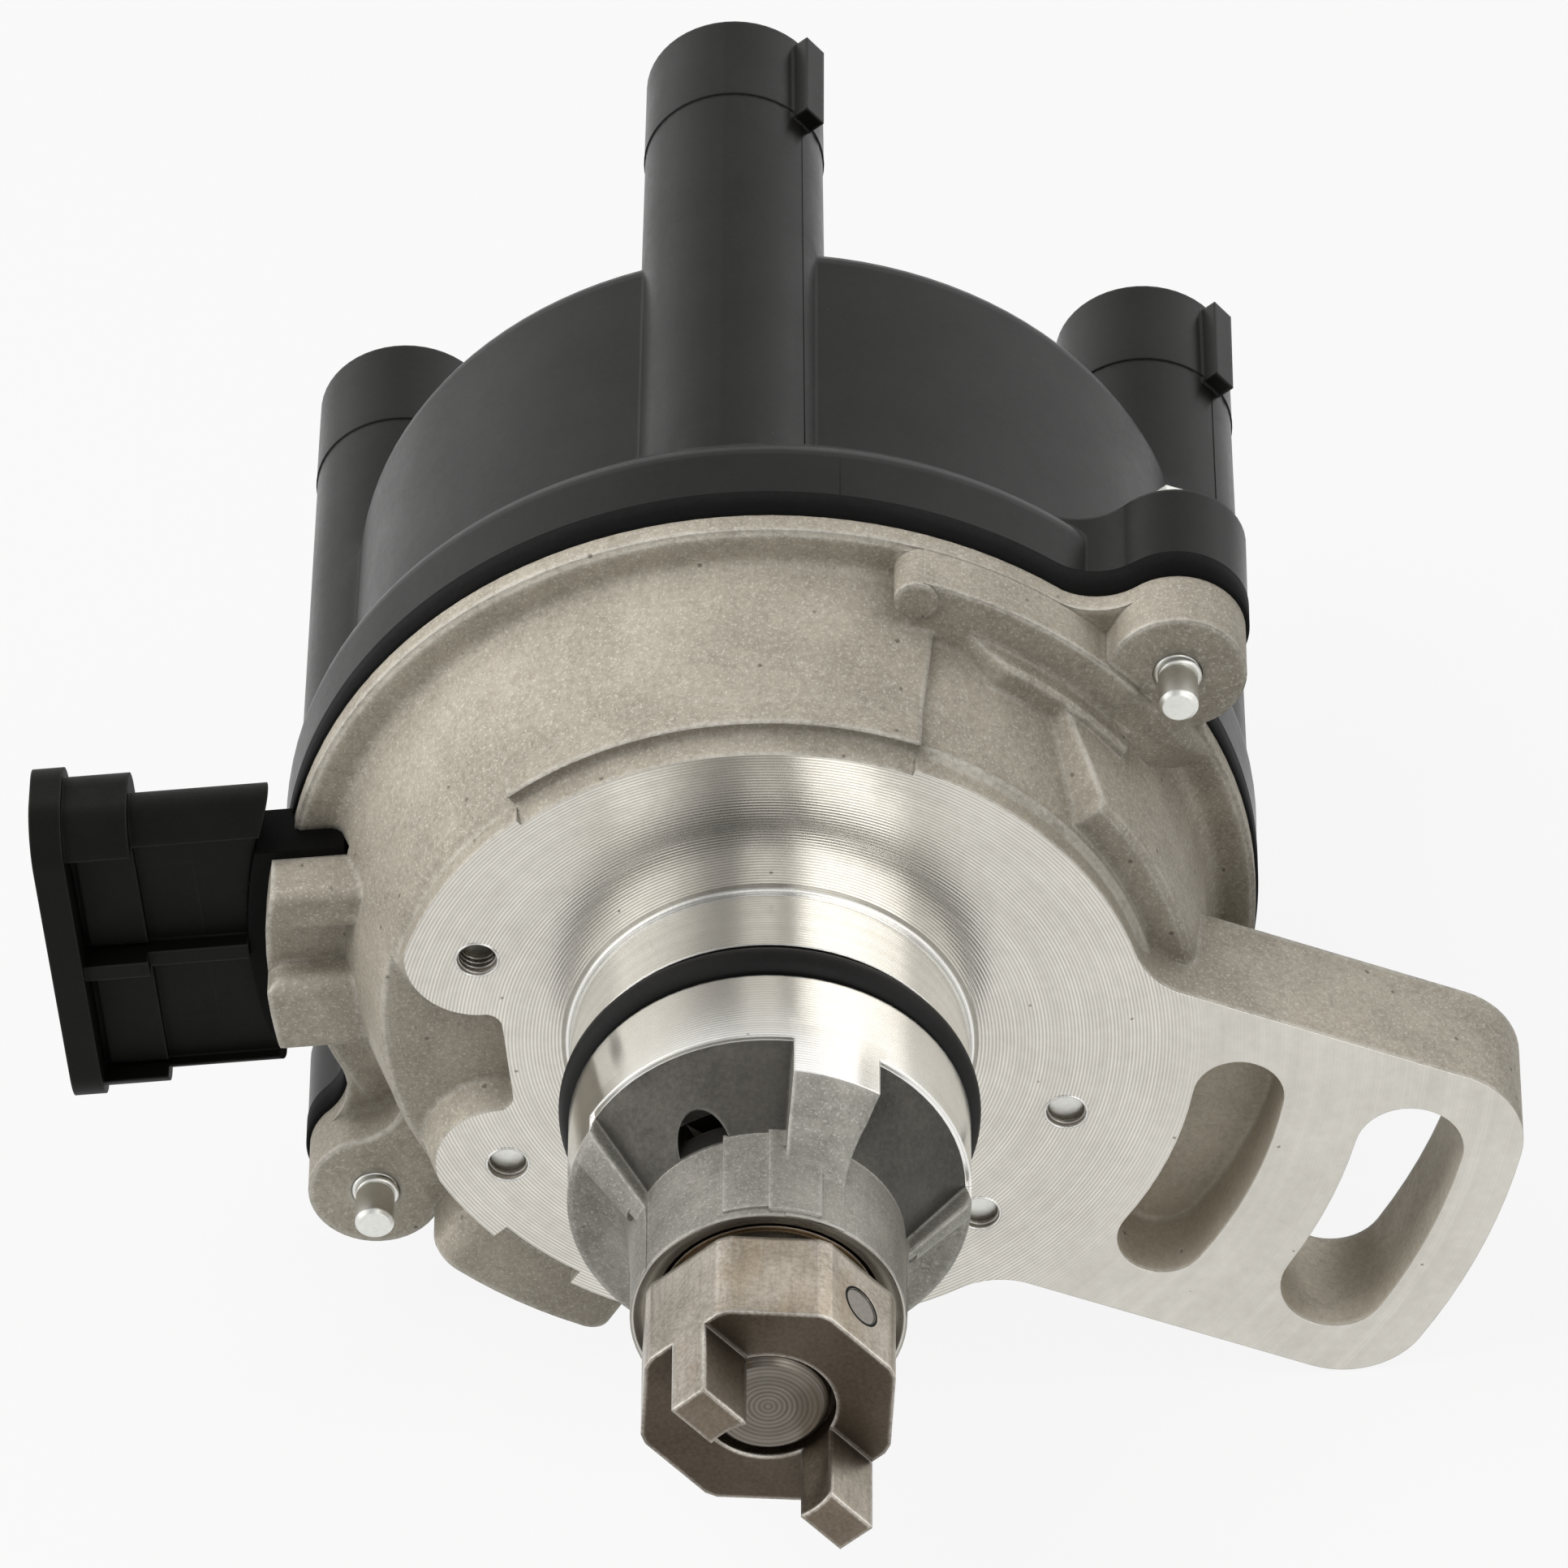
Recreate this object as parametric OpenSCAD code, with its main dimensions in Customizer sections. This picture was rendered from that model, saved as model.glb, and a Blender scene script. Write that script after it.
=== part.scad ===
// Ignition distributor for a four-cylinder engine, driven by the end of the camshaft.
// It is drawn with the shaft along z, the drive end towards +z and the top of the engine towards +y.
// The machined mounting face lies on z = 0, and its centre is the origin. turned() then lays the shaft
// along the row's y axis, with the drive end towards -y and the top towards +z.

/* [Mounting face and pilot] */
// Diameter of the turned pilot that enters the engine
pilot_d = 40; // [38:0.5:42]
// Height of the turned pilot, up to the windows
pilot_len = 22; // [20:0.5:24]
// Height of the cast rim beside the windows
neck_rim = 24.5; // [23:0.5:26]
// Radius of the machined mounting face
face_r = 38.2; // [37:0.1:40]
// Thickness of the wall behind the mounting face
floor_t = 5; // [4:0.5:6]
// Diameter of the O-ring's cord
ring_cord = 3.5; // [3:0.1:4]
// Height of the O-ring's centre above the face
ring_z = 10.6; // [9.5:0.1:12]
// Depth of the O-ring's groove
ring_groove_depth = 2.5; // [2:0.1:2.8]

/* [Housing] */
// Outer diameter of the rim that carries the cap
rim_d = 98; // [96:1:102]
// Depth of the housing behind the face, down to the rim's joint
housing_depth = 24.3; // [23:0.1:27]
// Thickness of the rim
rim_t = 3.6; // [3:0.1:4.5]
// Wall of the drum between face and rim
drum_wall = 3.6; // [3:0.1:4.2]
// Width of the rim's ledge outside the drum's foot
rim_ledge = 4.4; // [3.6:0.1:5.4]
// Width of the cast shoulder round the mounting face
shoulder_w = 1.6; // [1:0.1:2.4]
// Depth of the bay in the face, on the connector's side
bay_depth = 3.2; // [2:0.1:3.4]
// Distance of the bay's inner wall from the shaft
bay_start = 26.4; // [25:0.1:28]

/* [Hold-down ear] */
// Direction of the ear, from +x towards +y
ear_angle = -27; // [-40:1:-15]
// Reach of the ear from the shaft
ear_reach = 77; // [75:1:82]
// Width of the ear
ear_w = 41.6; // [40:0.2:46]
// Thickness of the ear
ear_t = 13.3; // [10:0.1:15]
// Radius of the ear's corners
ear_corner_r = 9; // [7:0.5:11]
// Distance of the open slot from the shaft
slot_r = 65.8; // [64:0.1:67]
// Width of the open slot
slot_w = 11; // [9:0.2:12]
// Half of the open slot's angle, between the centres of its ends
slot_half_angle = 8.6; // [6:0.2:10]
// Distance of the blind slot from the shaft
pocket_r = 47.5; // [47:0.1:48.5]
// Width of the blind slot
pocket_w = 9.2; // [8:0.2:9.6]
// Half of the blind slot's angle, between the centres of its ends
pocket_half_angle = 12.4; // [8:0.2:13]
// Depth of the blind slot
pocket_depth = 8; // [6:0.5:9]

/* [Hub and its windows] */
// Outer radius of the hub at its mouth
hub_r = 13.6; // [13.2:0.1:14.2]
// Height of the hub's mouth
hub_mouth = 41.2; // [40:0.1:43]
// Height at which the window cone meets the hub
cone_top = 29.8; // [28:0.1:32]
// Start and end angle of the window beside the left rib
window_a = [77, 146]; // [0:1:360]
// Start and end angle of the window on the right
window_b = [-5, 51]; // [-90:1:360]

/* [Bearings and seal] */
// Diameter of the shaft
shaft_d = 12; // [11:0.5:12.5]
// Outer diameter of the ball bearing
bearing_od = 32; // [30:1:33]
// Width of the ball bearing
bearing_w = 10; // [9:0.5:11]
// Number of balls
ball_count = 7; // [6:1:8]
// Diameter of a ball
ball_d = 5.95; // [5:0.05:6.2]
// Outer diameter of the oil seal
seal_od = 24; // [22:1:26]
// Width of the oil seal
seal_w = 7; // [5:0.5:7]
// Outer diameter of the sintered bush
bush_od = 18; // [17:0.5:19]

/* [Drive coupling] */
// Width of the eight-sided block across its flats
block_af = 24.4; // [23:0.2:25]
// Length of the block
block_len = 11; // [10:0.5:13]
// Direction of the cross pin, from +x towards +y
drive_angle = 36; // [0:1:90]
// Thickness of a driving tongue
tongue_t = 4.2; // [3.5:0.1:5]
// Height of the tongues above the block
tongue_h = 9.5; // [8:0.5:11]
// Offset of the tongues from the shaft's centre, so that it fits one way only
tongue_offset = 0.6; // [0.3:0.1:1.2]
// Inner end of each tongue, from the shaft's centre
tongue_start = 5.2; // [5:0.1:6]
// Diameter of the cross pin
pin_d = 4; // [3:0.5:4.5]

/* [Cap] */
// Radius of the cap's cup near its top
cup_r = 42.9; // [42:0.1:44]
// Depth of the cup's top, from the mounting face
cup_top = 75.1; // [72:0.1:80]
// Wall of the cap
cap_wall = 3.8; // [3:0.1:4.5]
// How far the cap's flange stands out past the rim
cap_overhang = 0.2; // [0:0.1:1]
// Depth of the flange
flange_t = 10.9; // [9:0.1:12]
// Thickness of the rubber gasket between the housing and the cap
gasket_t = 1.4; // [1:0.1:2]
// Distance of the four outer towers from the shaft
tower_pcr = 38.9; // [38:0.1:40]
// Depth of the towers' ends, from the mounting face
tower_end = 106.8; // [102:0.2:112]
// Diameter of a tower at its end
tower_d = 18; // [17:0.1:19]
// Diameter of a tower's socket
socket_d = 12.4; // [11:0.1:13]
// Depth of a tower's socket, down to its metal insert
socket_depth = 16; // [14:0.5:18]
// Depth of the insert below the socket
insert_depth = 10; // [8:0.5:11]

/* [Cap screws] */
// Distance of each cap screw outside the rim
screw_offset = 4.1; // [3.6:0.1:5.5]
// Direction of the first cap screw; the second lies opposite
screw_angle = 34.4; // [30:0.1:40]
// Radius of the ears round the screws
screw_ear_r = 6.9; // [6.5:0.1:8]
// Depth of the housing's ears, from the mounting face
screw_ear_top = 16.3; // [14:0.1:18]
// Thread diameter of the cap screws
screw_d = 5; // [4:0.5:5.5]
// Length of the plain point that stands out of the housing's ear
screw_point = 5.3; // [3:0.1:6]

/* [Connector] */
// Height of the connector's body along y
plug_h = 34.4; // [32:0.2:37]
// Centre of the connector's body along y
plug_y = 3.5; // [2:0.1:5]
// Depth of the connector's front, from the mounting face
plug_front = 17; // [16.5:0.1:18]
// Thickness of the connector's front panel
plug_t = 7; // [6:0.2:8]
// Distance of the connector's mouth from the shaft
plug_reach = 72.6; // [71:0.1:76]
// Gap between the rim and the end of the connector's body
plug_gap = 3.8; // [3:0.1:6]
// Wall between the plug's room and the end of the body
plug_wall = 4.3; // [3:0.1:6]
// Number of terminals
plug_pins = 4; // [3:1:5]

/* [Rotor and pickups] */
// Radius of the rotor's tip
rotor_tip_r = 29.4; // [28:0.1:29.6]
// Air gap between the rotor's tip and an electrode
tip_gap = 0.8; // [0.5:0.1:1.2]
// Radius of the crank signal rotor's teeth
crank_rotor_r = 15; // [14:0.1:16]
// Number of teeth on the crank signal rotor
crank_teeth = 4; // [4:1:8]
// Radius of the cam signal rotor's tooth
cam_rotor_r = 13; // [12:0.1:14]
// Air gap between a signal rotor and its pickup
pickup_gap = 0.5; // [0.3:0.1:0.8]

/* [Hidden] */
$fn = 96;
// Overshoot of a cut past the face that it opens
over = 1;
// How far a blend's circle runs into the circles that it joins
blend_overlap = 0.02;
// Clearance of pieces that are seated in each other
seat_gap = 0.02;
// Radial clearance of the running fits
run_gap = 0.04;
// Clearance between the balls and their tracks
ball_gap = 0.05;

shaft_r = shaft_d / 2;
pilot_r = pilot_d / 2;
rim_r = rim_d / 2;
rim_top = -housing_depth + rim_t;
drum_foot_r = rim_r - rim_ledge;
drum_top_r = face_r + shoulder_w;
// Drum's inner radius at its foot
drum_in_r = drum_foot_r - drum_wall;
screw_pcr = rim_r + screw_offset;
flange_r = rim_r + cap_overhang;
mouth_chamfer = 1.4;
// Stack along the shaft, from the cap side to the drive end
bearing_z = floor_t - bearing_w - 2;
bearing_top = bearing_z + bearing_w;
retainer_t = 1.2;
boss_foot = bearing_z - retainer_t - 1.8;
shoulder_t = 3;
seal_z = bearing_top + shoulder_t;
seal_top = seal_z + seal_w;
bush_foot = seal_top + 5;
washer_seat = 3;
bush_flange_t = 1.6;
bush_top = hub_mouth - washer_seat;
washer_z = bush_top + bush_flange_t + run_gap;
block_gap = 1.8;
block_z = hub_mouth + block_gap;
block_top = block_z + block_len;
washer_r = hub_r - 2.8;
spigot_r = 10.5;
// Shaft steps on the cap side of the bearing
journal_r = 7.6;
cover_z = -housing_depth + 0.4;
cover_t = 1.2;
cover_gap = 1.8;
seat_flange_z = -40;
seat_flange_t = 2.6;
seat_flange_r = 12.5;
shaft_end = -50;
// Signal rotors and pickups
crank_rotor_z = cover_z + cover_t + cover_gap;
crank_rotor_t = 4;
cam_rotor_z = crank_rotor_z + crank_rotor_t + 2;
cam_rotor_t = 3;
plate_t = 1.5;
boss_r = pilot_r - 1.2;
m4_r = 2;
m4_boss_r = 7.1;
m4_pcr = face_r - m4_boss_r;
plate_r = [boss_r + 4.2, m4_pcr + 2.8];
m4_angles = [153.8, 205.8, -23.2, -53.2];
core_t = 3.6;
core_end_r = m4_pcr + 2.5;
coil_r = [boss_r + 0.6, core_end_r - 4.2];
coil_half = crank_rotor_t / 2 + cover_gap - 0.3;
// Pickups stand between their two screws
crank_pickup_angle = 180;
cam_pickup_angle = -38.2;
// Cap
flange_z = -housing_depth - gasket_t;
flange_top = flange_z - flange_t;
cup_fillet = 3;
flange_round = 3.9;
// How far the towers' feet run into the flange, below its rounded edge
foot_sink = 2.6;
tower_taper = 0.011;
tower_angles = [0, 90, 180, 270];
cup_in_r = cup_r - cap_wall;
cup_roof = -cup_top + cap_wall;
// Rotor, brush and electrodes
arm_z = shaft_end - 6;
arm_w = 12;
blade_t = 1.6;
blade_z = arm_z - blade_t;
brush_r = 3;
brush_top_gap = 0.05;
brush_tip = blade_z - brush_top_gap;
brush_len = 9;
brush_travel = 1.5;
brush_boss_r = 7;
brush_boss_z = brush_tip - 2.4;
spring_len = 7;
terminal_foot = brush_tip - brush_len - spring_len;
foot_r = rotor_tip_r + tip_gap;
foot_t = 8;
foot_z = arm_z - blade_t / 2 + foot_t / 2;
electrode_r = 2.2;
insert_r = socket_d / 2 - 1;
insert_wall = 1;
insert_z = -tower_end + socket_depth;
socket_floor = insert_z + insert_depth;
// Connector, whose mouth faces -x
plug_back = rim_r + plug_gap;
flange_len = 3.2;
collar_len = 6.6;
cavity_h = 22;
cavity_t = 7;
cavity_depth = plug_reach - plug_back - plug_wall;
plug_mid = -plug_front - plug_t / 2 - 2;
grommet_y = [-9, 15];
grommet_x = [-plug_back + 0.1, -drum_in_r - 0.5];
grommet_top = -17.6;
blade_pitch = 5;
blade_inset = cavity_depth - 7.9;
blade_h = 2.2;
blade_w = 0.8;
terminal_tail = 3;
// Rotor's screws
rotor_screw_r = 1.7;
rotor_screw_x = shaft_r + 3.8;
spring_wire = 0.3;
spring_r = 2.3;
spring_turns = 6;

// Lays the shaft along the row's y axis
module turned() {
  rotate([90, 0, 0])
    children();
}

// Solid of revolution about the shaft between two angles, from points [radius, z]
module swept(points, from = 0, to = 360) {
  rotate([0, 0, from])
    rotate_extrude(angle = to - from)
      polygon(points);
}

// Tube about the shaft between two heights
module tube(r0, r1, z0, z1, from = 0, to = 360) {
  swept([[r0, z0], [r1, z0], [r1, z1], [r0, z1]], from, to);
}

// Points along an arc about c, from one angle to another
function arc(c, r, from, to, steps = 6) =
  [for (i = [0 : steps]) let (a = from + (to - from) * i / steps) [c[0] + r * cos(a), c[1] + r * sin(a)]];

module rod(r, z0, z1) {
  translate([0, 0, z0])
    cylinder(r = r, h = z1 - z0);
}

// Extrudes an outline drawn in y and z along x
module along_x(x0, x1) {
  translate([x0, 0, 0])
    rotate([90, 0, 90])
      linear_extrude(x1 - x0)
        children();
}

// Places children at a radius and an angle about the shaft
module at(r, angle) {
  rotate([0, 0, angle])
    translate([r, 0, 0])
      children();
}

// Block between two corners
module block(low, high) {
  translate(low)
    cube(high - low);
}

// Slot that follows a circle about the shaft, with round ends
module arc_slot_2d(r, w, from, to) {
  intersection() {
    difference() {
      circle(r = r + w / 2);
      circle(r = r - w / 2);
    }
    polygon([[0, 0], for (a = [from, (from + to) / 2, to]) 2 * r * [cos(a), sin(a)]]);
  }
  for (a = [from, to])
    rotate(a)
      translate([r, 0])
        circle(r = w / 2);
}

// Disc with an ear of radius re at distance d along +x, blended by fillets of radius f
module eared_2d(rb, re, d, f) {
  a = acos((pow(rb + f, 2) + d * d - pow(re + f, 2)) / (2 * (rb + f) * d));
  c = (rb + f) * [cos(a), sin(a)];
  circle(r = rb);
  translate([d, 0])
    circle(r = re);
  difference() {
    polygon([[0, 0], [c[0], -c[1]], [d, 0], c]);
    for (s = [-1, 1])
      translate([c[0], s * c[1]])
        circle(r = f + blend_overlap);
  }
}

// Rectangle with round corners, centred on the origin
module round_rect_2d(w, h, r) {
  square([w - 2 * r, h], center = true);
  square([w, h - 2 * r], center = true);
  for (x = [-1, 1], y = [-1, 1])
    translate([x * (w / 2 - r), y * (h / 2 - r)])
      circle(r = r);
}

// Both ears for the cap screws, on a disc of radius rb
module screw_ears_2d(rb, re, f) {
  for (a = [screw_angle, screw_angle + 180])
    rotate(a)
      eared_2d(rb, re, screw_pcr, f);
}

module at_screws() {
  for (a = [screw_angle, screw_angle + 180])
    at(screw_pcr, a)
      children();
}

// Outline of the hold-down ear, along +x
module hold_down_2d() {
  half = ear_w / 2;
  y = half - ear_corner_r;
  d = ear_reach - ear_corner_r;
  x = sqrt(d * d - y * y);
  f = 8;
  fx = sqrt(pow(face_r + f, 2) - pow(half + f, 2));
  translate([0, -half])
    square([x, ear_w]);
  for (s = [-1, 1])
    translate([x, s * y])
      circle(r = ear_corner_r);
  intersection() {
    circle(r = ear_reach);
    polygon([[0, 0], [2 * x, 2 * y], [2 * x, -2 * y]]);
  }
  difference() {
    polygon([[0, 0], [fx, -half - f], [fx, half + f]]);
    for (s = [-1, 1])
      translate([fx, s * (half + f)])
        circle(r = f + blend_overlap);
  }
}

// Bay in the face on the connector's side, between the sloped bosses of two screws
module bay() {
  corner = 1.8;
  draft = 0.5;
  // The bosses run a little past the face's edge, so that their outlines cross
  boss_r = m4_boss_r + 0.15;
  a = [m4_angles[0], m4_angles[1]];
  y = [for (t = a) m4_pcr * sin(t)];
  inner_h = y[0] - y[1] - 2 * m4_boss_r - 0.2;
  difference() {
    translate([0, 0, -bay_depth])
      linear_extrude(bay_depth + over)
        intersection() {
          polygon([[0, 0], for (t = [a[0], 180, a[1]]) 3 * face_r * [cos(t), sin(t)]]);
          union() {
            translate([-bay_start - inner_h / 2, (y[0] + y[1]) / 2])
              round_rect_2d(inner_h, inner_h, corner);
            translate([-2 * face_r, -face_r])
              square([2 * face_r - bay_start - corner, 2 * face_r]);
          }
        }
    for (t = a)
      at(m4_pcr, t)
        translate([0, 0, -bay_depth - over])
          cylinder(r1 = boss_r + draft * (bay_depth + over), r2 = boss_r - draft * over, h = bay_depth + 2 * over);
  }
}

// Outside of the drum, from the rim's joint to the face
module drum_outside() {
  round_r = 3.8;
  swept(concat(
    [[0, -housing_depth], [rim_r, -housing_depth], [rim_r, rim_top - 0.6], [rim_r - 0.6, rim_top]],
    arc([drum_foot_r + 1.2, rim_top + 1.6], 1.6, 270, 190, 4),
    arc([drum_top_r - round_r, -5.8], round_r, 8, 70),
    [[face_r - 1.6, -2], [0, -2]]
  ));
}

// What the drum's wall lacks on the ear's side, up to a line beside the ledge
module drum_recess() {
  step = 0.8;
  swept([
    [drum_top_r - step - 0.6, -3.4], [drum_top_r - step, -5], [drum_foot_r - 3.7 - step, rim_top + 12],
    [drum_foot_r - 1.5 - step, rim_top + 4], [rim_r, rim_top + 4], [rim_r, -3.4]
  ], -2, 62);
}

// Ledge below the face's upper edge, with a thin lip on its outside
module face_ledge() {
  swept([
    [face_r - 0.7, over], [face_r - 0.7, 0], [face_r - 0.2, -1.8], [face_r + 0.2, -2.5],
    [drum_top_r - 0.4, -2.5], [drum_top_r - 0.1, -2.1], [drum_top_r + 3, -2.1], [drum_top_r + 3, over]
  ], 62, 125);
  // The face is narrower beside the lower screw
  swept([[face_r - 1.8, over], [face_r - 1.8, 0], [face_r - 0.8, -2], [rim_r, -2], [rim_r, over]], 217, 232);
}

// Lug over the connector's neck, with two round-edged pads on it
module connector_lug(lug_r, foot) {
  pad_top = -12;
  recess_top = pad_top - 3.3;
  intersection() {
    tube(drum_top_r - 6, lug_r, foot, -8);
    union() {
      block([-60, -8, foot - over], [-20, 12.6, recess_top]);
      along_x(-60, -20)
        translate([11.3, pad_top - 5])
          round_rect_2d(5.4, 10, 1.5);
      intersection() {
        along_x(-60, -20)
          translate([-2.4, pad_top - 7])
            round_rect_2d(9.4, 14, 1.7);
        translate([-lug_r + 14.2, -2.4, foot - over])
          linear_extrude(lug_r)
            round_rect_2d(30, 9.6, 3.4);
      }
    }
  }
}

// Thicker wall beside the hold-down ear, which falls to a ledge over the raised rim
module ear_shoulder(foot) {
  ledge_z = -13.3;
  top_z = -4.7;
  step_angle = 33;
  fade_angle = 52;
  inner = drum_top_r - 4;
  intersection() {
    swept([
      [inner, foot], [drum_foot_r - 0.4, foot], [drum_foot_r - 0.5, rim_top + 1.2], [drum_top_r + 3.2, top_z - 1.4],
      [drum_top_r + 2.9, top_z - 0.5], [drum_top_r + 2.2, top_z], [inner, top_z]
    ], -4, step_angle + 12);
    rotate([0, 0, step_angle])
      along_x(0, rim_r)
        polygon([[-40, -25], [-40, top_z + over], [0, top_z], [6.5, ledge_z], [6.5, -25]]);
  }
  intersection() {
    swept(concat(
      [[inner, foot], [drum_foot_r + 1.6, foot]],
      arc([drum_foot_r + 1.7, ledge_z - 1.7], 1.8, 260, 185, 4),
      [[drum_foot_r - 0.1, ledge_z - 0.4], [drum_foot_r - 0.5, ledge_z], [inner, ledge_z]]
    ), step_angle - 2, 63);
    rotate([0, 0, fade_angle])
      along_x(0, rim_r)
        polygon([[-40, -25], [-40, ledge_z + over], [0, ledge_z], [9, ledge_z - 5], [9, -25]]);
  }
}

// Cast forms round the drum
module drum_bosses() {
  lug_r = rim_r + 1.9;
  foot = -housing_depth + 0.5;
  raised_z = screw_ear_top - 0.6;
  raised_end = 66;
  end_r = 2.2;
  connector_lug(lug_r, foot);
  // Lug below the face, with a round corner
  intersection() {
    tube(drum_top_r - 4, lug_r - 0.4, foot, -9.4, 220, 246);
    rotate([0, 0, 233])
      along_x(0, 2 * rim_r)
        translate([0, foot])
          round_rect_2d(21, 2 * (-9.4 - foot), 3);
  }
  ear_shoulder(foot);
  // Rim raised from the screw's ear to a round end
  tube(drum_foot_r - 3, rim_r - 0.1, foot, -raised_z, screw_angle + 1, raised_end);
  at(rim_r - 0.15 - end_r, raised_end)
    rod(end_r, foot, -raised_z + 0.3);
}

// Turned pilot, cast rim and hub, as points [radius, z]
function neck_profile() = concat(
  [[0, -1], [pilot_r, -1], [pilot_r, neck_rim - 0.4], [pilot_r - 0.5, neck_rim]],
  arc([hub_r + 3.8, neck_rim + 3.3], 3.3, 270, 180),
  [[hub_r, neck_rim + 10], [hub_r, hub_mouth], [0, hub_mouth]]
);

// Space above the window cone
module window(angles) {
  wall_r = hub_r - 0.1;
  swept([
    [pilot_r - 0.6, pilot_len], [wall_r, cone_top], [wall_r, hub_mouth + over], [pilot_r + 3, hub_mouth + over],
    [pilot_r + 3, pilot_len]
  ], angles[0], angles[1]);
}

// Solid that the window cone is cut from, a little wider than the window
module window_floor(angles) {
  swept([
    [hub_r - 2, pilot_len - 3], [pilot_r - 0.3, pilot_len - 3], [pilot_r - 0.3, pilot_len + 0.6], [hub_r - 2, cone_top + 3.5]
  ], angles[0] - 2, angles[1] + 2);
}

// Narrow rib beyond a window, flat beside the window and round on its far side
module narrow_rib(edge, side, width) {
  round_r = 1.7;
  outer = [pilot_r - 0.3, neck_rim + 0.3];
  inner = [hub_r + 0.3, cone_top + 2];
  slope = atan((outer[0] - inner[0]) / (inner[1] - outer[1]));
  ends = side > 0 ? [edge - 2, edge + width] : [edge - width, edge + 2];
  swept([
    [hub_r - 2, pilot_len - 3], [outer[0], pilot_len - 3], outer, inner, [hub_r - 2, cone_top + 4]
  ], ends[0], ends[1]);
  intersection() {
    at(outer[0], edge + side * width)
      translate([0, 0, outer[1] - round_r / sin(slope) + 0.1])
        rotate([0, -slope, 0])
          translate([0, 0, -3])
            cylinder(r = round_r, h = 13);
    rod(outer[0] - 0.1, pilot_len - 2, hub_mouth - 3);
  }
}

module neck() {
  web_top = neck_rim + 2.6;
  oil_r = 2.75;
  difference() {
    union() {
      swept(neck_profile());
      window_floor(window_a);
      window_floor(window_b);
      // Wide rib between the two windows, turned with the pilot on its outside
      swept(concat(
        [[hub_r - 2, pilot_len - 3], [pilot_r, pilot_len - 3], [pilot_r, web_top], [pilot_r - 0.9, web_top + 0.7]],
        arc([pilot_r + 0.6, cone_top + 5.6], 6.9, 245, 190, 5),
        [[hub_r - 2, cone_top + 7]]
      ), window_b[1] - 2, window_a[0] + 2);
      narrow_rib(window_a[1], 1, 9);
      narrow_rib(window_b[0], -1, 4);
    }
    window(window_a);
    window(window_b);
    tube(pilot_r - ring_groove_depth, pilot_r + over, ring_z - ring_cord * 0.66, ring_z + ring_cord * 0.66);
    // Oil inlet at the hub's foot, in the left window, and its way in to the bush
    rotate([0, 0, 112]) {
      difference() {
        translate([hub_r - 0.4, 0, 0])
          rod(oil_r, cone_top - 5, cone_top + over);
        rod(hub_r, cone_top - 6, cone_top + 2 * over);
      }
      block([bush_od / 2 - 1, -oil_r + 0.6, cone_top - 5], [hub_r + 0.5, oil_r - 0.6, cone_top - 2.4]);
    }
  }
  // Shallow cast pads along the hub
  tube(hub_r - 1, hub_r + 0.4, cone_top - 0.8, hub_mouth - 0.5, 62, 84);
  tube(hub_r - 1, hub_r + 0.2, cone_top - 0.8, hub_mouth - 1, 83, 103);
}

// Bores for the shaft and what it runs in, and the room inside the drum
module housing_bores() {
  drum_in_top = drum_top_r - drum_wall;
  swept([
    [0, -housing_depth - over], [drum_in_r + 0.5, -housing_depth - over], [drum_in_r, rim_top],
    [drum_in_top, -floor_t - 2], [drum_in_top - 2, -floor_t], [boss_r + 2, -floor_t],
    [boss_r, -floor_t - 2], [boss_r, boss_foot], [0, boss_foot]
  ]);
  rod(bearing_od / 2, boss_foot - over, bearing_top);
  rod(bearing_od / 2 + 0.8, bearing_z - retainer_t - 0.1, bearing_z - 0.1);
  rod(seal_od / 2, bearing_top - over, seal_top);
  rod(bush_od / 2, seal_top - over, hub_mouth + over);
  rod(hub_r - 2.4, bush_top, hub_mouth + over);
  translate([0, 0, hub_mouth - mouth_chamfer])
    cylinder(r1 = hub_r - 2.4, r2 = hub_r - 0.4, h = mouth_chamfer + 0.01);
}

module housing() {
  color("silver")
    turned()
      difference() {
        union() {
          difference() {
            drum_outside();
            drum_recess();
          }
          drum_bosses();
          // Machined face, and the lip of the ledge below its upper edge
          rod(face_r, -floor_t, 0);
          swept([
            [face_r - 4, -6], [drum_top_r + 0.3, -6], [drum_top_r + 0.1, -3.6], [drum_top_r - 0.1, -1.8],
            [face_r - 4, -1.8]
          ], 62, 125);
          rotate([0, 0, ear_angle])
            translate([0, 0, -ear_t])
              linear_extrude(ear_t)
                hold_down_2d();
          translate([0, 0, -housing_depth])
            linear_extrude(housing_depth - screw_ear_top)
              screw_ears_2d(drum_foot_r - 2, screw_ear_r, 6);
          translate([0, 0, -housing_depth])
            linear_extrude(rim_t - 0.3)
              screw_ears_2d(rim_r - 0.05, screw_ear_r, 7);
          neck();
        }
        housing_bores();
        bay();
        face_ledge();
        rotate([0, 0, ear_angle]) {
          translate([0, 0, -ear_t - over])
            linear_extrude(ear_t + 2 * over)
              arc_slot_2d(slot_r, slot_w, -slot_half_angle, slot_half_angle);
          translate([0, 0, -pocket_depth])
            linear_extrude(pocket_depth + over)
              arc_slot_2d(pocket_r, pocket_w, -pocket_half_angle, pocket_half_angle);
        }
        for (a = m4_angles)
          at(m4_pcr, a)
            rod(m4_r, -floor_t - over, over);
        at_screws()
          rod(screw_d / 2, -housing_depth - over, -screw_ear_top + over);
        // Gate for the connector's neck
        block([grommet_x[0] - 2, grommet_y[0], -housing_depth - over], [grommet_x[1] + 4, grommet_y[1], grommet_top]);
      }
}

module pilot_o_ring() {
  color("black")
    turned()
      rotate_extrude()
        translate([pilot_r - ring_groove_depth + seat_gap + ring_cord / 2, ring_z])
          circle(d = ring_cord, $fn = 48);
}

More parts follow.
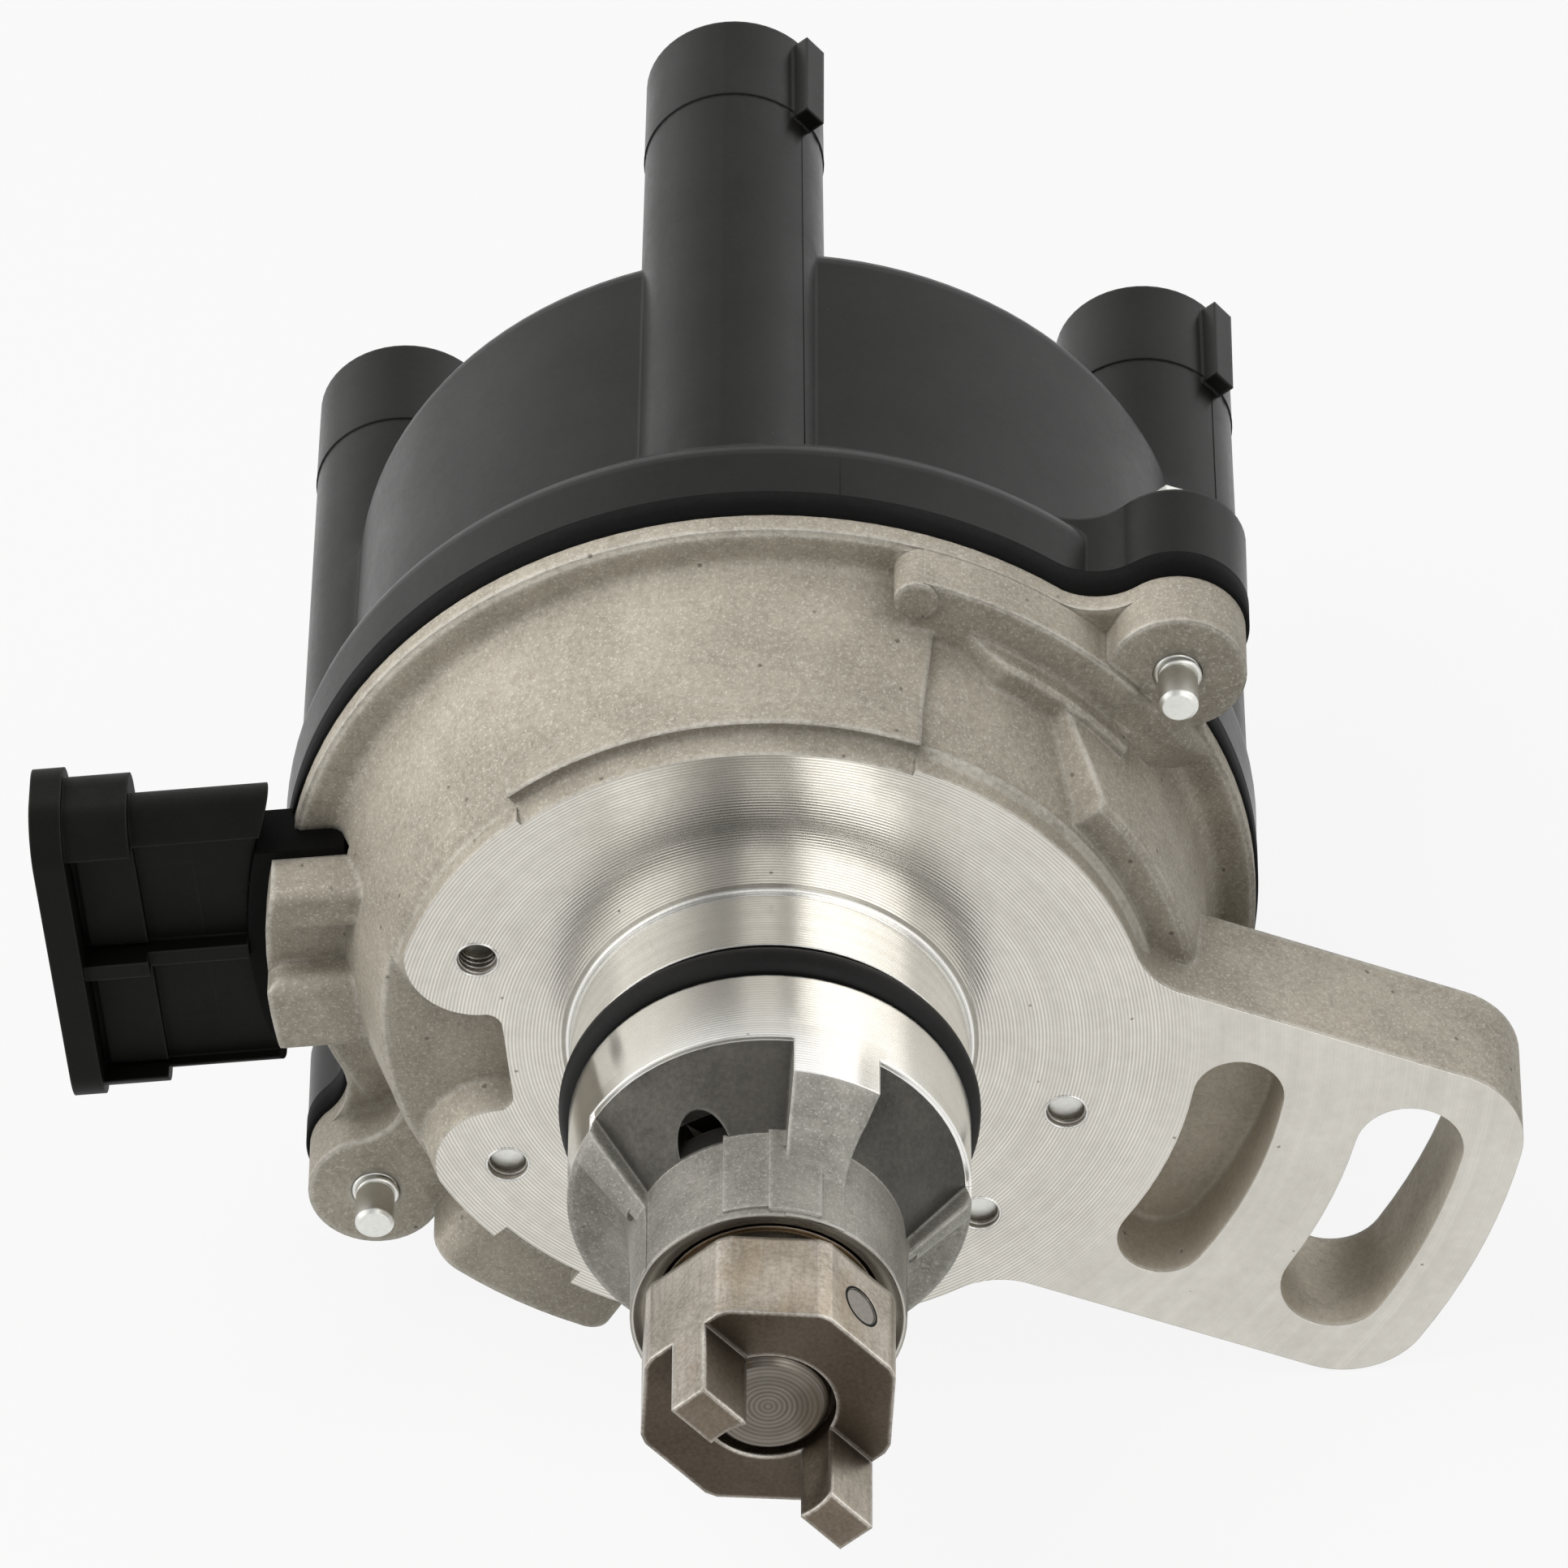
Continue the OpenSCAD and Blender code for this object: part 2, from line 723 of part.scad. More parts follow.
module hub_bush() {
  color("peru")
    turned()
      difference() {
        union() {
          rod(bush_od / 2 - seat_gap, bush_foot, bush_top + 0.5);
          rod(washer_r, bush_top, bush_top + bush_flange_t);
        }
        rod(shaft_r + run_gap, bush_foot - over, hub_mouth);
      }
}

module oil_seal() {
  lip = shaft_r + run_gap;
  shell = seal_od / 2 - seat_gap;
  color("dimgray")
    turned()
      swept([
        [shell, seal_z], [shell, seal_top], [lip + 1.6, seal_top], [lip + 0.8, seal_top - 1.6], [lip, seal_top - 2.2],
        [lip + 1.1, seal_z + 2.4], [lip + 1.3, seal_z + 1.4], [lip + 2.6, seal_z + 1.4], [lip + 2.8, seal_z + 3.4],
        [shell - 1.4, seal_z + 3.4], [shell - 1.4, seal_z]
      ]);
}

// Pitch radius of the ball track, midway between shaft and seat
function track_r() = (shaft_r + bearing_od / 2) / 2;

module ball_track() {
  rotate_extrude()
    translate([track_r(), bearing_z + bearing_w / 2])
      circle(r = ball_d / 2 + ball_gap);
}

module bearing_race(r0, r1) {
  difference() {
    tube(r0, r1, bearing_z, bearing_top);
    ball_track();
  }
}

module bearing_outer_race() {
  color("gainsboro")
    turned()
      bearing_race(track_r() + ball_d * 0.36, bearing_od / 2 - seat_gap);
}

module bearing_inner_race() {
  color("gainsboro")
    turned()
      bearing_race(shaft_r + seat_gap, track_r() - ball_d * 0.36);
}

module at_balls() {
  for (i = [0 : ball_count - 1])
    at(track_r(), i * 360 / ball_count)
      translate([0, 0, bearing_z + bearing_w / 2])
        children();
}

module bearing_balls() {
  color("white")
    turned()
      at_balls()
        sphere(d = ball_d, $fn = 48);
}

module bearing_cage() {
  half = 4;
  mid = bearing_z + bearing_w / 2;
  color("darkkhaki")
    turned()
      difference() {
        tube(track_r() - 0.7, track_r() + 0.7, mid - half, mid + half);
        at_balls()
          rotate([0, 90, 0])
            rod(ball_d / 2 + ball_gap, -ball_d, ball_d);
      }
}

module bearing_retaining_ring() {
  top = bearing_z - 0.1 - seat_gap;
  color("slategray")
    turned()
      difference() {
        tube(bearing_od / 2 - 2.2, bearing_od / 2 + 0.7, top - retainer_t + 2 * seat_gap, top);
        block([0, -2.5, top - 2 * retainer_t], [bearing_od, 2.5, top + over]);
      }
}

module pickup_plate() {
  foot = -floor_t - plate_t;
  color("lightgray")
    turned()
      difference() {
        tube(plate_r[0], plate_r[1], foot, -floor_t);
        for (a = m4_angles)
          at(m4_pcr, a)
            rod(m4_r + 0.2, foot - over, over);
      }
}

module pickup_screws() {
  head_z = -floor_t - plate_t;
  tips = [-3.2, -1.4, -1.2, -1.2];
  color("gainsboro")
    turned()
      for (i = [0 : len(m4_angles) - 1])
        at(m4_pcr, m4_angles[i])
          difference() {
            union() {
              rod(m4_r - seat_gap, head_z - 1, tips[i]);
              rod(3.5, head_z - 2.4, head_z);
            }
            for (a = [0, 90])
              rotate([0, 0, a])
                block([-2.2, -0.4, head_z - 2.4 - over], [2.2, 0.4, head_z - 1.2]);
          }
}

// Steel core of a pickup: a bar that points at its rotor, on a post that stands on the plate
module pickup_core(angle, rotor_r, mid) {
  half = core_t / 2;
  color("slategray")
    turned()
      at(0, angle) {
        block([rotor_r + pickup_gap, -half, mid - half], [core_end_r, half, mid + half]);
        block([core_end_r - core_t, -half, mid - half], [core_end_r, half, -floor_t - plate_t]);
      }
}

// Moulded coil round the bar of a pickup
module pickup_coil(angle, mid) {
  color("saddlebrown")
    turned()
      at(0, angle)
        translate([0, 0, mid])
          rotate([0, 90, 0])
            difference() {
              union() {
                rod(coil_half - 0.5, coil_r[0], coil_r[1]);
                rod(coil_half, coil_r[0], coil_r[0] + 1.2);
                rod(coil_half, coil_r[1] - 1.2, coil_r[1]);
              }
              block([-core_t / 2 - seat_gap, -core_t / 2 - seat_gap, 0], [core_t / 2 + seat_gap, core_t / 2 + seat_gap, core_end_r]);
            }
}

function crank_mid() = crank_rotor_z + crank_rotor_t / 2;
function cam_mid() = cam_rotor_z + cam_rotor_t / 2;

module crank_pickup_core() {
  pickup_core(crank_pickup_angle, crank_rotor_r, crank_mid());
}

module crank_pickup_coil() {
  pickup_coil(crank_pickup_angle, crank_mid());
}

module cam_pickup_core() {
  pickup_core(cam_pickup_angle, cam_rotor_r, cam_mid());
}

module cam_pickup_coil() {
  pickup_coil(cam_pickup_angle, cam_mid());
}

module dust_cover() {
  color("darkslategray")
    turned()
      difference() {
        union() {
          tube(journal_r + 1.4, drum_in_r - 0.3, cover_z, cover_z + cover_t);
          tube(journal_r + 1.4, journal_r + 2.8, cover_z - 1.6, cover_z + cover_t);
        }
        block([grommet_x[0], grommet_y[0] - 0.5, cover_z - over],
          [grommet_x[1] + terminal_tail + 1, grommet_y[1] + 0.5, cover_z + 2 * cover_t]);
      }
}

module cap_gasket() {
  color("black")
    turned()
      translate([0, 0, flange_z])
        linear_extrude(gasket_t)
          difference() {
            screw_ears_2d(rim_r - 0.6, screw_ear_r - 0.6, 7.6);
            circle(r = drum_in_r + 1);
            for (a = [screw_angle, screw_angle + 180])
              rotate(a)
                translate([screw_pcr, 0])
                  circle(r = screw_d / 2 + 0.3);
          }
}

// Outside of one tower, with its key rib
module tower(key_angle) {
  lip = 1;
  seam = 13.4;
  base_r = tower_d / 2 + tower_taper * (tower_end + flange_top);
  translate([0, 0, -tower_end + lip])
    cylinder(r1 = tower_d / 2 + 0.12, r2 = tower_d / 2 + 0.12 + tower_taper * seam, h = seam - lip);
  translate([0, 0, -tower_end])
    cylinder(r1 = tower_d / 2 - lip + 0.2, r2 = tower_d / 2 + 0.12, h = lip);
  translate([0, 0, -tower_end + seam - 0.5])
    cylinder(r1 = tower_d / 2 + tower_taper * seam, r2 = base_r, h = tower_end + flange_top - seam + 0.5 + foot_sink);
  rotate([0, 0, key_angle])
    block([tower_d / 2 - 1, -1.35, -tower_end + 2.4], [tower_d / 2 + 2, 1.35, -tower_end + 14.4]);
}

// Socket for a lead, with the seat of its metal insert
module tower_socket() {
  rod(socket_d / 2, -tower_end - over, insert_z);
  rod(insert_r, insert_z - over, socket_floor);
}

// Metal cup at the bottom of a socket
module socket_insert() {
  rim_gap = 0.3;
  difference() {
    rod(insert_r - seat_gap, insert_z + rim_gap, socket_floor - seat_gap);
    rod(insert_r - insert_wall, insert_z, socket_floor - 1.2);
  }
}

module distributor_cap() {
  base_r = cup_r + 0.7;
  tower_base = tower_d / 2 + 0.7;
  color([0.16, 0.16, 0.17])
    turned()
      difference() {
        union() {
          swept(concat(
            [[0, flange_z], [flange_r, flange_z]],
            arc([flange_r + 0.1 - flange_round, flange_top + flange_round], flange_round, 0, -90, 9),
            [[base_r, flange_top - 0.2]],
            arc([cup_r - cup_fillet, -cup_top + cup_fillet], cup_fillet, 0, -90),
            [[0, -cup_top]]
          ));
          translate([0, 0, flange_top])
            linear_extrude(flange_t)
              screw_ears_2d(flange_r - 1.8, screw_ear_r + 0.3, 7);
          for (a = tower_angles) {
            at(tower_pcr, a)
              tower(screw_angle - a);
            rotate([0, 0, a])
              translate([0, 0, -cup_top + cup_fillet])
                linear_extrude(cup_top + flange_top - cup_fillet + foot_sink)
                  eared_2d(cup_r - 0.2, tower_d / 2, tower_pcr, 2.4);
          }
          tower(screw_angle);
        }
        // Room under the cap, with its bosses left standing
        difference() {
          swept([
            [0, flange_z + over], [cup_in_r + 0.9, flange_z + over], [cup_in_r + 0.4, flange_top], [cup_in_r, cup_roof + 2],
            [cup_in_r - 2, cup_roof], [0, cup_roof]
          ]);
          rod(brush_boss_r, -cup_top, brush_boss_z);
          for (a = tower_angles)
            at(tower_pcr - 1.4, a)
              rod(5.4, -cup_top, foot_z - foot_t + 2);
        }
        rod(brush_r + run_gap, -cup_top, 0);
        rod(brush_r + run_gap, socket_floor - over, -cup_top + over);
        tower_socket();
        for (a = tower_angles)
          at(tower_pcr, a) {
            tower_socket();
            rod(electrode_r + seat_gap, socket_floor - over, foot_z - foot_t / 2);
          }
        at_screws()
          rod(screw_d / 2 + 0.3, flange_top - over, flange_z + over);
        // Feet of the electrodes lie half in their bosses
        for (a = tower_angles)
          rotate([0, 0, a])
            electrode_foot(seat_gap);
      }
}

// Foot of an electrode, which ends just outside the rotor's circle
module electrode_foot(gap = 0) {
  half = 2.6 + gap;
  difference() {
    block([foot_r - gap - 2, -half, foot_z - foot_t - gap], [tower_pcr + half, half, foot_z + gap]);
    rod(foot_r - gap, foot_z - 2 * foot_t, foot_z + over);
  }
}

module side_electrodes() {
  color("silver")
    turned()
      for (a = tower_angles)
        rotate([0, 0, a]) {
          electrode_foot();
          translate([tower_pcr, 0, 0]) {
            rod(electrode_r, socket_floor - 1, foot_z - foot_t + 0.5);
            socket_insert();
          }
        }
}

module centre_terminal() {
  color("silver")
    turned() {
      rod(brush_r - seat_gap, socket_floor - 1, terminal_foot);
      socket_insert();
    }
}

module cap_screws() {
  head_z = flange_top;
  point_r = screw_d / 2 - 0.5;
  thread_end = -screw_ear_top - 1.2;
  color("gainsboro")
    turned()
      at_screws()
        difference() {
          union() {
            rod(screw_d / 2 - seat_gap, head_z - 1, thread_end);
            rod(point_r, thread_end - 1, -screw_ear_top + screw_point - 0.4);
            translate([0, 0, -screw_ear_top + screw_point - 0.4])
              cylinder(r1 = point_r, r2 = point_r - 0.4, h = 0.4);
            rod(screw_d, head_z - 1.2, head_z);
            translate([0, 0, head_z - 4])
              cylinder(d = screw_d * 1.6 / cos(30), h = 3.2, $fn = 6);
          }
          for (a = [0, 90])
            rotate([0, 0, a])
              block([-2.6, -0.5, head_z - 4 - over], [2.6, 0.5, head_z - 2.4]);
        }
}

module connector_shell() {
  mid = -plug_front - plug_t / 2;
  top = plug_y + plug_h / 2;
  bottom = plug_y - plug_h / 2;
  rib_pitch = (plug_h - 3) / 2;
  panel = 1.9;
  recess_x = [-plug_reach + flange_len, -plug_back + 3];
  color([0.12, 0.12, 0.12])
    turned()
      difference() {
        union() {
          // Flange round the mouth, collar behind it, and the flat body
          translate([0, 0, plug_mid + 1.2])
            along_x(-plug_reach, -plug_reach + flange_len)
              translate([plug_y, 0])
                round_rect_2d(plug_h + 3, cavity_t + 6.6, 5);
          translate([0, 0, plug_mid + 1.4])
            along_x(-plug_reach + flange_len - 0.5, -plug_reach + flange_len + collar_len)
              translate([plug_y, 0])
                round_rect_2d(plug_h + 1.4, cavity_t + 4.4, 4);
          translate([0, 0, mid])
            along_x(-plug_reach + flange_len, -plug_back + 8)
              translate([plug_y, 0])
                round_rect_2d(plug_h, plug_t, plug_t / 2 - 0.1);
          // Barrel that holds the terminals
          translate([0, 0, plug_mid])
            along_x(-plug_reach + flange_len, -plug_back)
              translate([plug_y, 0])
                round_rect_2d(cavity_h + 3, cavity_t + 3, 2);
        }
        // Recessed panels on the front, which leave three long ribs
        for (i = [0, 1])
          translate([0, bottom + 1.6 + i * rib_pitch, 0])
            difference() {
              block([recess_x[0], 0, -plug_front - panel], [recess_x[1] + 10, rib_pitch - 1.8, over]);
              block([recess_x[0] + 0.7, 0.6, -plug_front - panel - 1], [recess_x[0] + 6.6, rib_pitch - 2.4, -plug_front - 0.9]);
            }
        // Body ends on a circle about the shaft
        translate([0, 0, -40])
          cylinder(r = plug_back, h = 40);
        // Room for the mating plug, and the terminals' slots
        translate([0, 0, plug_mid])
          along_x(-plug_reach - over, -plug_reach + cavity_depth)
            translate([plug_y, 0])
              round_rect_2d(cavity_h, cavity_t, 1.2);
        terminal_bars(seat_gap);
      }
}

// Flat terminals side by side, each a bar along x
module terminal_bars(gap = 0) {
  for (i = [0 : plug_pins - 1]) {
    y = plug_y + (i - (plug_pins - 1) / 2) * blade_pitch;
    block([-plug_reach + blade_inset - gap, y - blade_h / 2 - gap, plug_mid - blade_w / 2 - gap],
      [grommet_x[1] + terminal_tail, y + blade_h / 2 + gap, plug_mid + blade_w / 2 + gap]);
  }
}

module connector_terminals() {
  color("khaki")
    turned()
      terminal_bars();
}

module connector_grommet() {
  color([0.1, 0.1, 0.1])
    turned()
      difference() {
        block([-plug_reach, grommet_y[0] + seat_gap, -housing_depth], [grommet_x[1], grommet_y[1] - seat_gap, grommet_top - seat_gap]);
        difference() {
          rod(2 * plug_reach, -housing_depth - over, 0);
          rod(plug_back - 0.05, -housing_depth - 2 * over, over);
        }
        terminal_bars(seat_gap);
      }
}

module shaft() {
  bevel = 0.7;
  color("lightsteelblue")
    turned()
      difference() {
        union() {
          rod(shaft_r - 0.02, shaft_end, seat_flange_z + 1);
          rod(seat_flange_r, seat_flange_z, seat_flange_z + seat_flange_t);
          rod(journal_r, seat_flange_z + 1, bearing_z - seat_gap);
          rod(shaft_r, bearing_z - 1, block_top - bevel);
          translate([0, 0, block_top - bevel])
            cylinder(r1 = shaft_r, r2 = shaft_r - bevel, h = bevel);
        }
        at(0, drive_angle)
          translate([-shaft_d, 0, (block_z + block_top) / 2])
            rotate([0, 90, 0])
              cylinder(d = pin_d + 2 * seat_gap, h = 2 * shaft_d);
        for (s = [-1, 1])
          translate([0, s * rotor_screw_x, 0])
            rod(rotor_screw_r, seat_flange_z - over, seat_flange_z + seat_flange_t + over);
      }
}

module drive_coupling() {
  corner_r = block_af / 2 + 0.75;
  counterbore = 2.2;
  color([0.52, 0.47, 0.42])
    turned()
      at(0, drive_angle)
        difference() {
          intersection() {
            union() {
              translate([0, 0, block_z])
                rotate([0, 0, 22.5])
                  cylinder(r = block_af / 2 / cos(22.5), h = block_len, $fn = 8);
              for (s = [0, 1])
                mirror([0, s, 0])
                  block([tongue_offset - tongue_t / 2, tongue_start, block_top - 1],
                    [tongue_offset + tongue_t / 2, block_af / 2, block_top + tongue_h]);
            }
            rod(corner_r, block_z - over, block_top + tongue_h + over);
          }
          rod(shaft_r + seat_gap, block_z - over, block_top + tongue_h + over);
          rod(shaft_r + 0.65, block_top - counterbore, block_top + tongue_h + over);
          translate([-block_af, 0, (block_z + block_top) / 2])
            rotate([0, 90, 0])
              cylinder(d = pin_d + 2 * seat_gap, h = 2 * block_af);
        }
}

module coupling_pin() {
  len = block_af - 0.2;
  color("lightgray")
    turned()
      at(0, drive_angle)
        translate([-len / 2, 0, (block_z + block_top) / 2])
          rotate([0, 90, 0])
            cylinder(d = pin_d, h = len);
}

module thrust_washer() {
  color("silver")
    turned()
      tube(shaft_r + seat_gap, spigot_r, washer_z, block_z);
}

// Toothed signal rotor pressed on the shaft's journal
module crank_signal_rotor() {
  root_r = crank_rotor_r - 3;
  color("slategray")
    turned()
      difference() {
        union() {
          rod(root_r, crank_rotor_z, crank_rotor_z + crank_rotor_t);
          for (i = [0 : crank_teeth - 1])
            rotate([0, 0, 12 + i * 360 / crank_teeth])
              intersection() {
                block([root_r - 1, -2.2, crank_rotor_z + 0.1], [crank_rotor_r + over, 2.2, crank_rotor_z + crank_rotor_t - 0.1]);
                rod(crank_rotor_r, crank_rotor_z - over, 0);
              }
        }
        rod(journal_r + seat_gap, crank_rotor_z - over, 0);
      }
}

module cam_signal_rotor() {
  root_r = cam_rotor_r - 2.6;
  color("slategray")
    turned()
      difference() {
        union() {
          rod(root_r, cam_rotor_z, cam_rotor_z + cam_rotor_t);
          rotate([0, 0, 60])
            intersection() {
              block([root_r - 1, -2.2, cam_rotor_z + 0.1], [cam_rotor_r + over, 2.2, cam_rotor_z + cam_rotor_t - 0.1]);
              rod(cam_rotor_r, cam_rotor_z - over, 0);
            }
        }
        rod(journal_r + seat_gap, cam_rotor_z - over, 0);
      }
}

module rotor_body() {
  color("sienna")
    turned()
      difference() {
        union() {
          rod(seat_flange_r + 0.9, shaft_end, seat_flange_z);
          rod(shaft_r + 3, arm_z, shaft_end + 1);
          block([-16, -arm_w / 2, arm_z], [rotor_tip_r - 3.4, arm_w / 2, shaft_end + 1]);
          block([-18, -arm_w / 2, shaft_end], [rotor_tip_r - 3.4, arm_w / 2, shaft_end + 3]);
        }
        rod(shaft_r + seat_gap, shaft_end - seat_gap, 0);
        for (s = [-1, 1])
          translate([0, s * rotor_screw_x, 0]) {
            rod(rotor_screw_r + 0.1, arm_z - over, 0);
            rod(rotor_screw_r + 1.5, arm_z - over, shaft_end + 0.5);
          }
      }
}

module rotor_blade() {
  half = 4;
  color("goldenrod")
    turned()
      union() {
        rod(5.6, blade_z, arm_z);
        intersection() {
          block([0, -half, blade_z], [rotor_tip_r + over, half, arm_z]);
          rod(rotor_tip_r, blade_z - over, 0);
        }
        intersection() {
          block([rotor_tip_r - 3.2, -half, blade_z], [rotor_tip_r + over, half, arm_z + 3]);
          rod(rotor_tip_r, blade_z - over, 0);
        }
      }
}

module rotor_screws() {
  head_top = shaft_end + 0.5;
  color("gainsboro")
    turned()
      for (s = [-1, 1])
        translate([0, s * rotor_screw_x, 0]) {
          rod(rotor_screw_r - seat_gap, head_top - 1, seat_flange_z + seat_flange_t);
          rod(rotor_screw_r + 1.3, head_top - 2.2, head_top);
        }
}

module carbon_brush() {
  color([0.2, 0.2, 0.2])
    turned()
      rod(brush_r, brush_tip - brush_len, brush_tip);
}

// Helix of flat-sided wire, swept along its own turns
module brush_spring() {
  sides = 6;
  steps = 10 * spring_turns;
  length = spring_len - spring_wire * 2.4;
  start = brush_tip - brush_len - spring_wire * 1.2;
  rings = [for (i = [0 : steps]) let (a = 36 * i, z = start - length * i / steps)
    [for (k = [0 : sides - 1]) let (b = 360 * k / sides, r = spring_r + spring_wire * cos(b))
      [r * cos(a), r * sin(a), z + spring_wire * sin(b)]]];
  points = [for (ring = rings) each ring];
  walls = [for (i = [0 : steps - 1], k = [0 : sides - 1]) let (n = (k + 1) % sides)
    [i * sides + k, i * sides + n, (i + 1) * sides + n, (i + 1) * sides + k]];
  last = steps * sides;
  color("silver")
    turned()
      polyhedron(points, concat(walls, [[for (k = [sides - 1 : -1 : 0]) k], [for (k = [0 : sides - 1]) last + k]]));
}

housing();
pilot_o_ring();
hub_bush();
oil_seal();
bearing_outer_race();
bearing_retaining_ring();
pickup_plate();
pickup_screws();
crank_pickup_core();
crank_pickup_coil();
cam_pickup_core();
cam_pickup_coil();
dust_cover();
cap_gasket();
distributor_cap();
side_electrodes();
centre_terminal();
cap_screws();
connector_shell();
connector_terminals();
connector_grommet();
shaft();
drive_coupling();
coupling_pin();
thrust_washer();
bearing_inner_race();
crank_signal_rotor();
cam_signal_rotor();
rotor_body();
rotor_blade();
rotor_screws();
bearing_balls();
bearing_cage();
carbon_brush();
brush_spring();
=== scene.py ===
import math

import bmesh
import bpy
from mathutils import Matrix, Vector


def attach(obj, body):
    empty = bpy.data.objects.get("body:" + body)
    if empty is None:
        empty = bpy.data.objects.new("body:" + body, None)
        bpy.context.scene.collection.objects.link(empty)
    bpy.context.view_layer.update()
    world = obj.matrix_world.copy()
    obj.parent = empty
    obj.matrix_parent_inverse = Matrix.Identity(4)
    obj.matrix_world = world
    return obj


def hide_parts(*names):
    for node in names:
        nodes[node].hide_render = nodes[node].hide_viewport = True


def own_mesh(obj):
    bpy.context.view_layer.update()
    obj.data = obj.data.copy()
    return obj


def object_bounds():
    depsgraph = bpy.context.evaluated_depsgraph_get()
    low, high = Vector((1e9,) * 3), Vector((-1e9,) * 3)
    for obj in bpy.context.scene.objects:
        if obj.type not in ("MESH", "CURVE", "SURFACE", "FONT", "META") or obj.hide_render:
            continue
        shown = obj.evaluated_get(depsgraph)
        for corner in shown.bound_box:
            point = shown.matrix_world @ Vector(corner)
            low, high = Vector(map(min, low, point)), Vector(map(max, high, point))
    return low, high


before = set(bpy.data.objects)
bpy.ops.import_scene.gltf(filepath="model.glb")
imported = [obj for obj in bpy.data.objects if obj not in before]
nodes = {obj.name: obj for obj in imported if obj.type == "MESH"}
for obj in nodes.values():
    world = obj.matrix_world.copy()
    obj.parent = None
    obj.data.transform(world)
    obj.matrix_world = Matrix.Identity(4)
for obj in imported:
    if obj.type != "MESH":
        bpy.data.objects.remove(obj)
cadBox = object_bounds()
scene = bpy.context.scene
mm = 0.001             # shapes are written in millimetres
perMetre = 1000.0
print("frame:", len(nodes), "CAD nodes")


# From the shaft's own axes, with the shaft along z and the top along y, to the frame's
def fromShaft(x, y, z):
    return Vector((x, -z, y))


# A point in mm at a radius and an angle about the shaft
def around(radius, angle, z=0.0):
    turn = math.radians(angle)
    return fromShaft(radius * math.cos(turn), radius * math.sin(turn), z)


shaftAxis = fromShaft(0, 0, 1)

# The camera, at the photograph's angle
cameraSettings = {
    "turn": 6.2,          # how far the part is turned about its shaft, degrees
    "lift": 40.0,         # camera above the shaft's axis, degrees
    "roll": 0.275,        # degrees
    "distance": 1.5,      # metres
    "across": 1.2589,     # mm beside the shaft's axis
    "above": 25.8186,     # mm above it
    "lens": 344.42,
    "sensor": 36,
    "nearest": 0.05,      # metres
    "farthest": 20,
}


def makeCamera(s):
    turn, lift, roll = (math.radians(s[key]) for key in ("turn", "lift", "roll"))
    away = fromShaft(math.sin(turn) * math.sin(lift), math.cos(turn) * math.sin(lift), math.cos(lift))
    right = fromShaft(math.cos(turn), -math.sin(turn), 0)
    up = fromShaft(math.sin(turn) * math.cos(lift), math.cos(turn) * math.cos(lift), -math.sin(lift))
    place = away * s["distance"] + right * s["across"] * mm + up * s["above"] * mm
    rolledRight = right * math.cos(roll) + up * math.sin(roll)
    rolledUp = up * math.cos(roll) - right * math.sin(roll)
    data = bpy.data.cameras.new("photoCamera")
    data.lens = s["lens"]
    data.sensor_width = s["sensor"]
    data.clip_start = s["nearest"]
    data.clip_end = s["farthest"]
    camera = bpy.data.objects.new("photoCamera", data)
    camera.matrix_world = Matrix((rolledRight, rolledUp, away)).transposed().to_4x4()
    camera.matrix_world.translation = place
    scene.collection.objects.link(camera)
    scene.camera = camera


makeCamera(cameraSettings)
print("camera placed")


# Short ways to place and join nodes
def feed(tree, value, socket):
    if isinstance(value, bpy.types.NodeSocket):
        tree.links.new(value, socket)
    else:
        socket.default_value = value


def put(tree, kind, values=None, **settings):
    node = tree.nodes.new(kind)
    for key, value in settings.items():
        setattr(node, key, value)
    for socket, value in (values or {}).items():
        feed(tree, value, node.inputs[socket])
    return node


def calculate(tree, operation, *values, clamp=False):
    node = put(tree, "ShaderNodeMath", dict(enumerate(values)), operation=operation, use_clamp=clamp)
    return node.outputs[0]


def calculateVector(tree, operation, values):
    return put(tree, "ShaderNodeVectorMath", values, operation=operation)


# The Mix node's own sockets for colours
mixSockets = {"low": 6, "high": 7, "mixed": 2}


def mixColours(tree, factor, low, high, blend="MIX"):
    node = put(tree, "ShaderNodeMix", data_type="RGBA", blend_type=blend)
    feed(tree, factor, node.inputs["Factor"])
    feed(tree, low, node.inputs[mixSockets["low"]])
    feed(tree, high, node.inputs[mixSockets["high"]])
    return node.outputs[mixSockets["mixed"]]


def fitRange(tree, value, low, high, newLow=0.0, newHigh=1.0):
    node = put(tree, "ShaderNodeMapRange", dict(enumerate((value, low, high, newLow, newHigh))))
    return node.outputs[0]


# The same, from minus a half to a half
def centreRange(tree, value, low, high):
    return fitRange(tree, value, low, high, -0.5, 0.5)


def noise(tree, where, values):
    return put(tree, "ShaderNodeTexNoise", {"Vector": where} | values).outputs[0]


def objectPlace(tree):
    return put(tree, "ShaderNodeTexCoord").outputs["Object"]


def newGroup(name, inputs, outputs):
    group = bpy.data.node_groups.new(name, "ShaderNodeTree")
    for label, value in inputs.items():
        socket = group.interface.new_socket(label, in_out="INPUT", socket_type="NodeSocketFloat")
        socket.default_value = value
    for label in outputs:
        kind = "NodeSocketVector" if label == "Normal" else "NodeSocketFloat"
        group.interface.new_socket(label, in_out="OUTPUT", socket_type=kind)
    start = group.nodes.new("NodeGroupInput")
    end = group.nodes.new("NodeGroupOutput")
    return group, start.outputs, end.inputs


def useGroup(tree, group, values=None):
    node = tree.nodes.new("ShaderNodeGroup")
    node.node_tree = group
    for socket, value in (values or {}).items():
        feed(tree, value, node.inputs[socket])
    return node.outputs


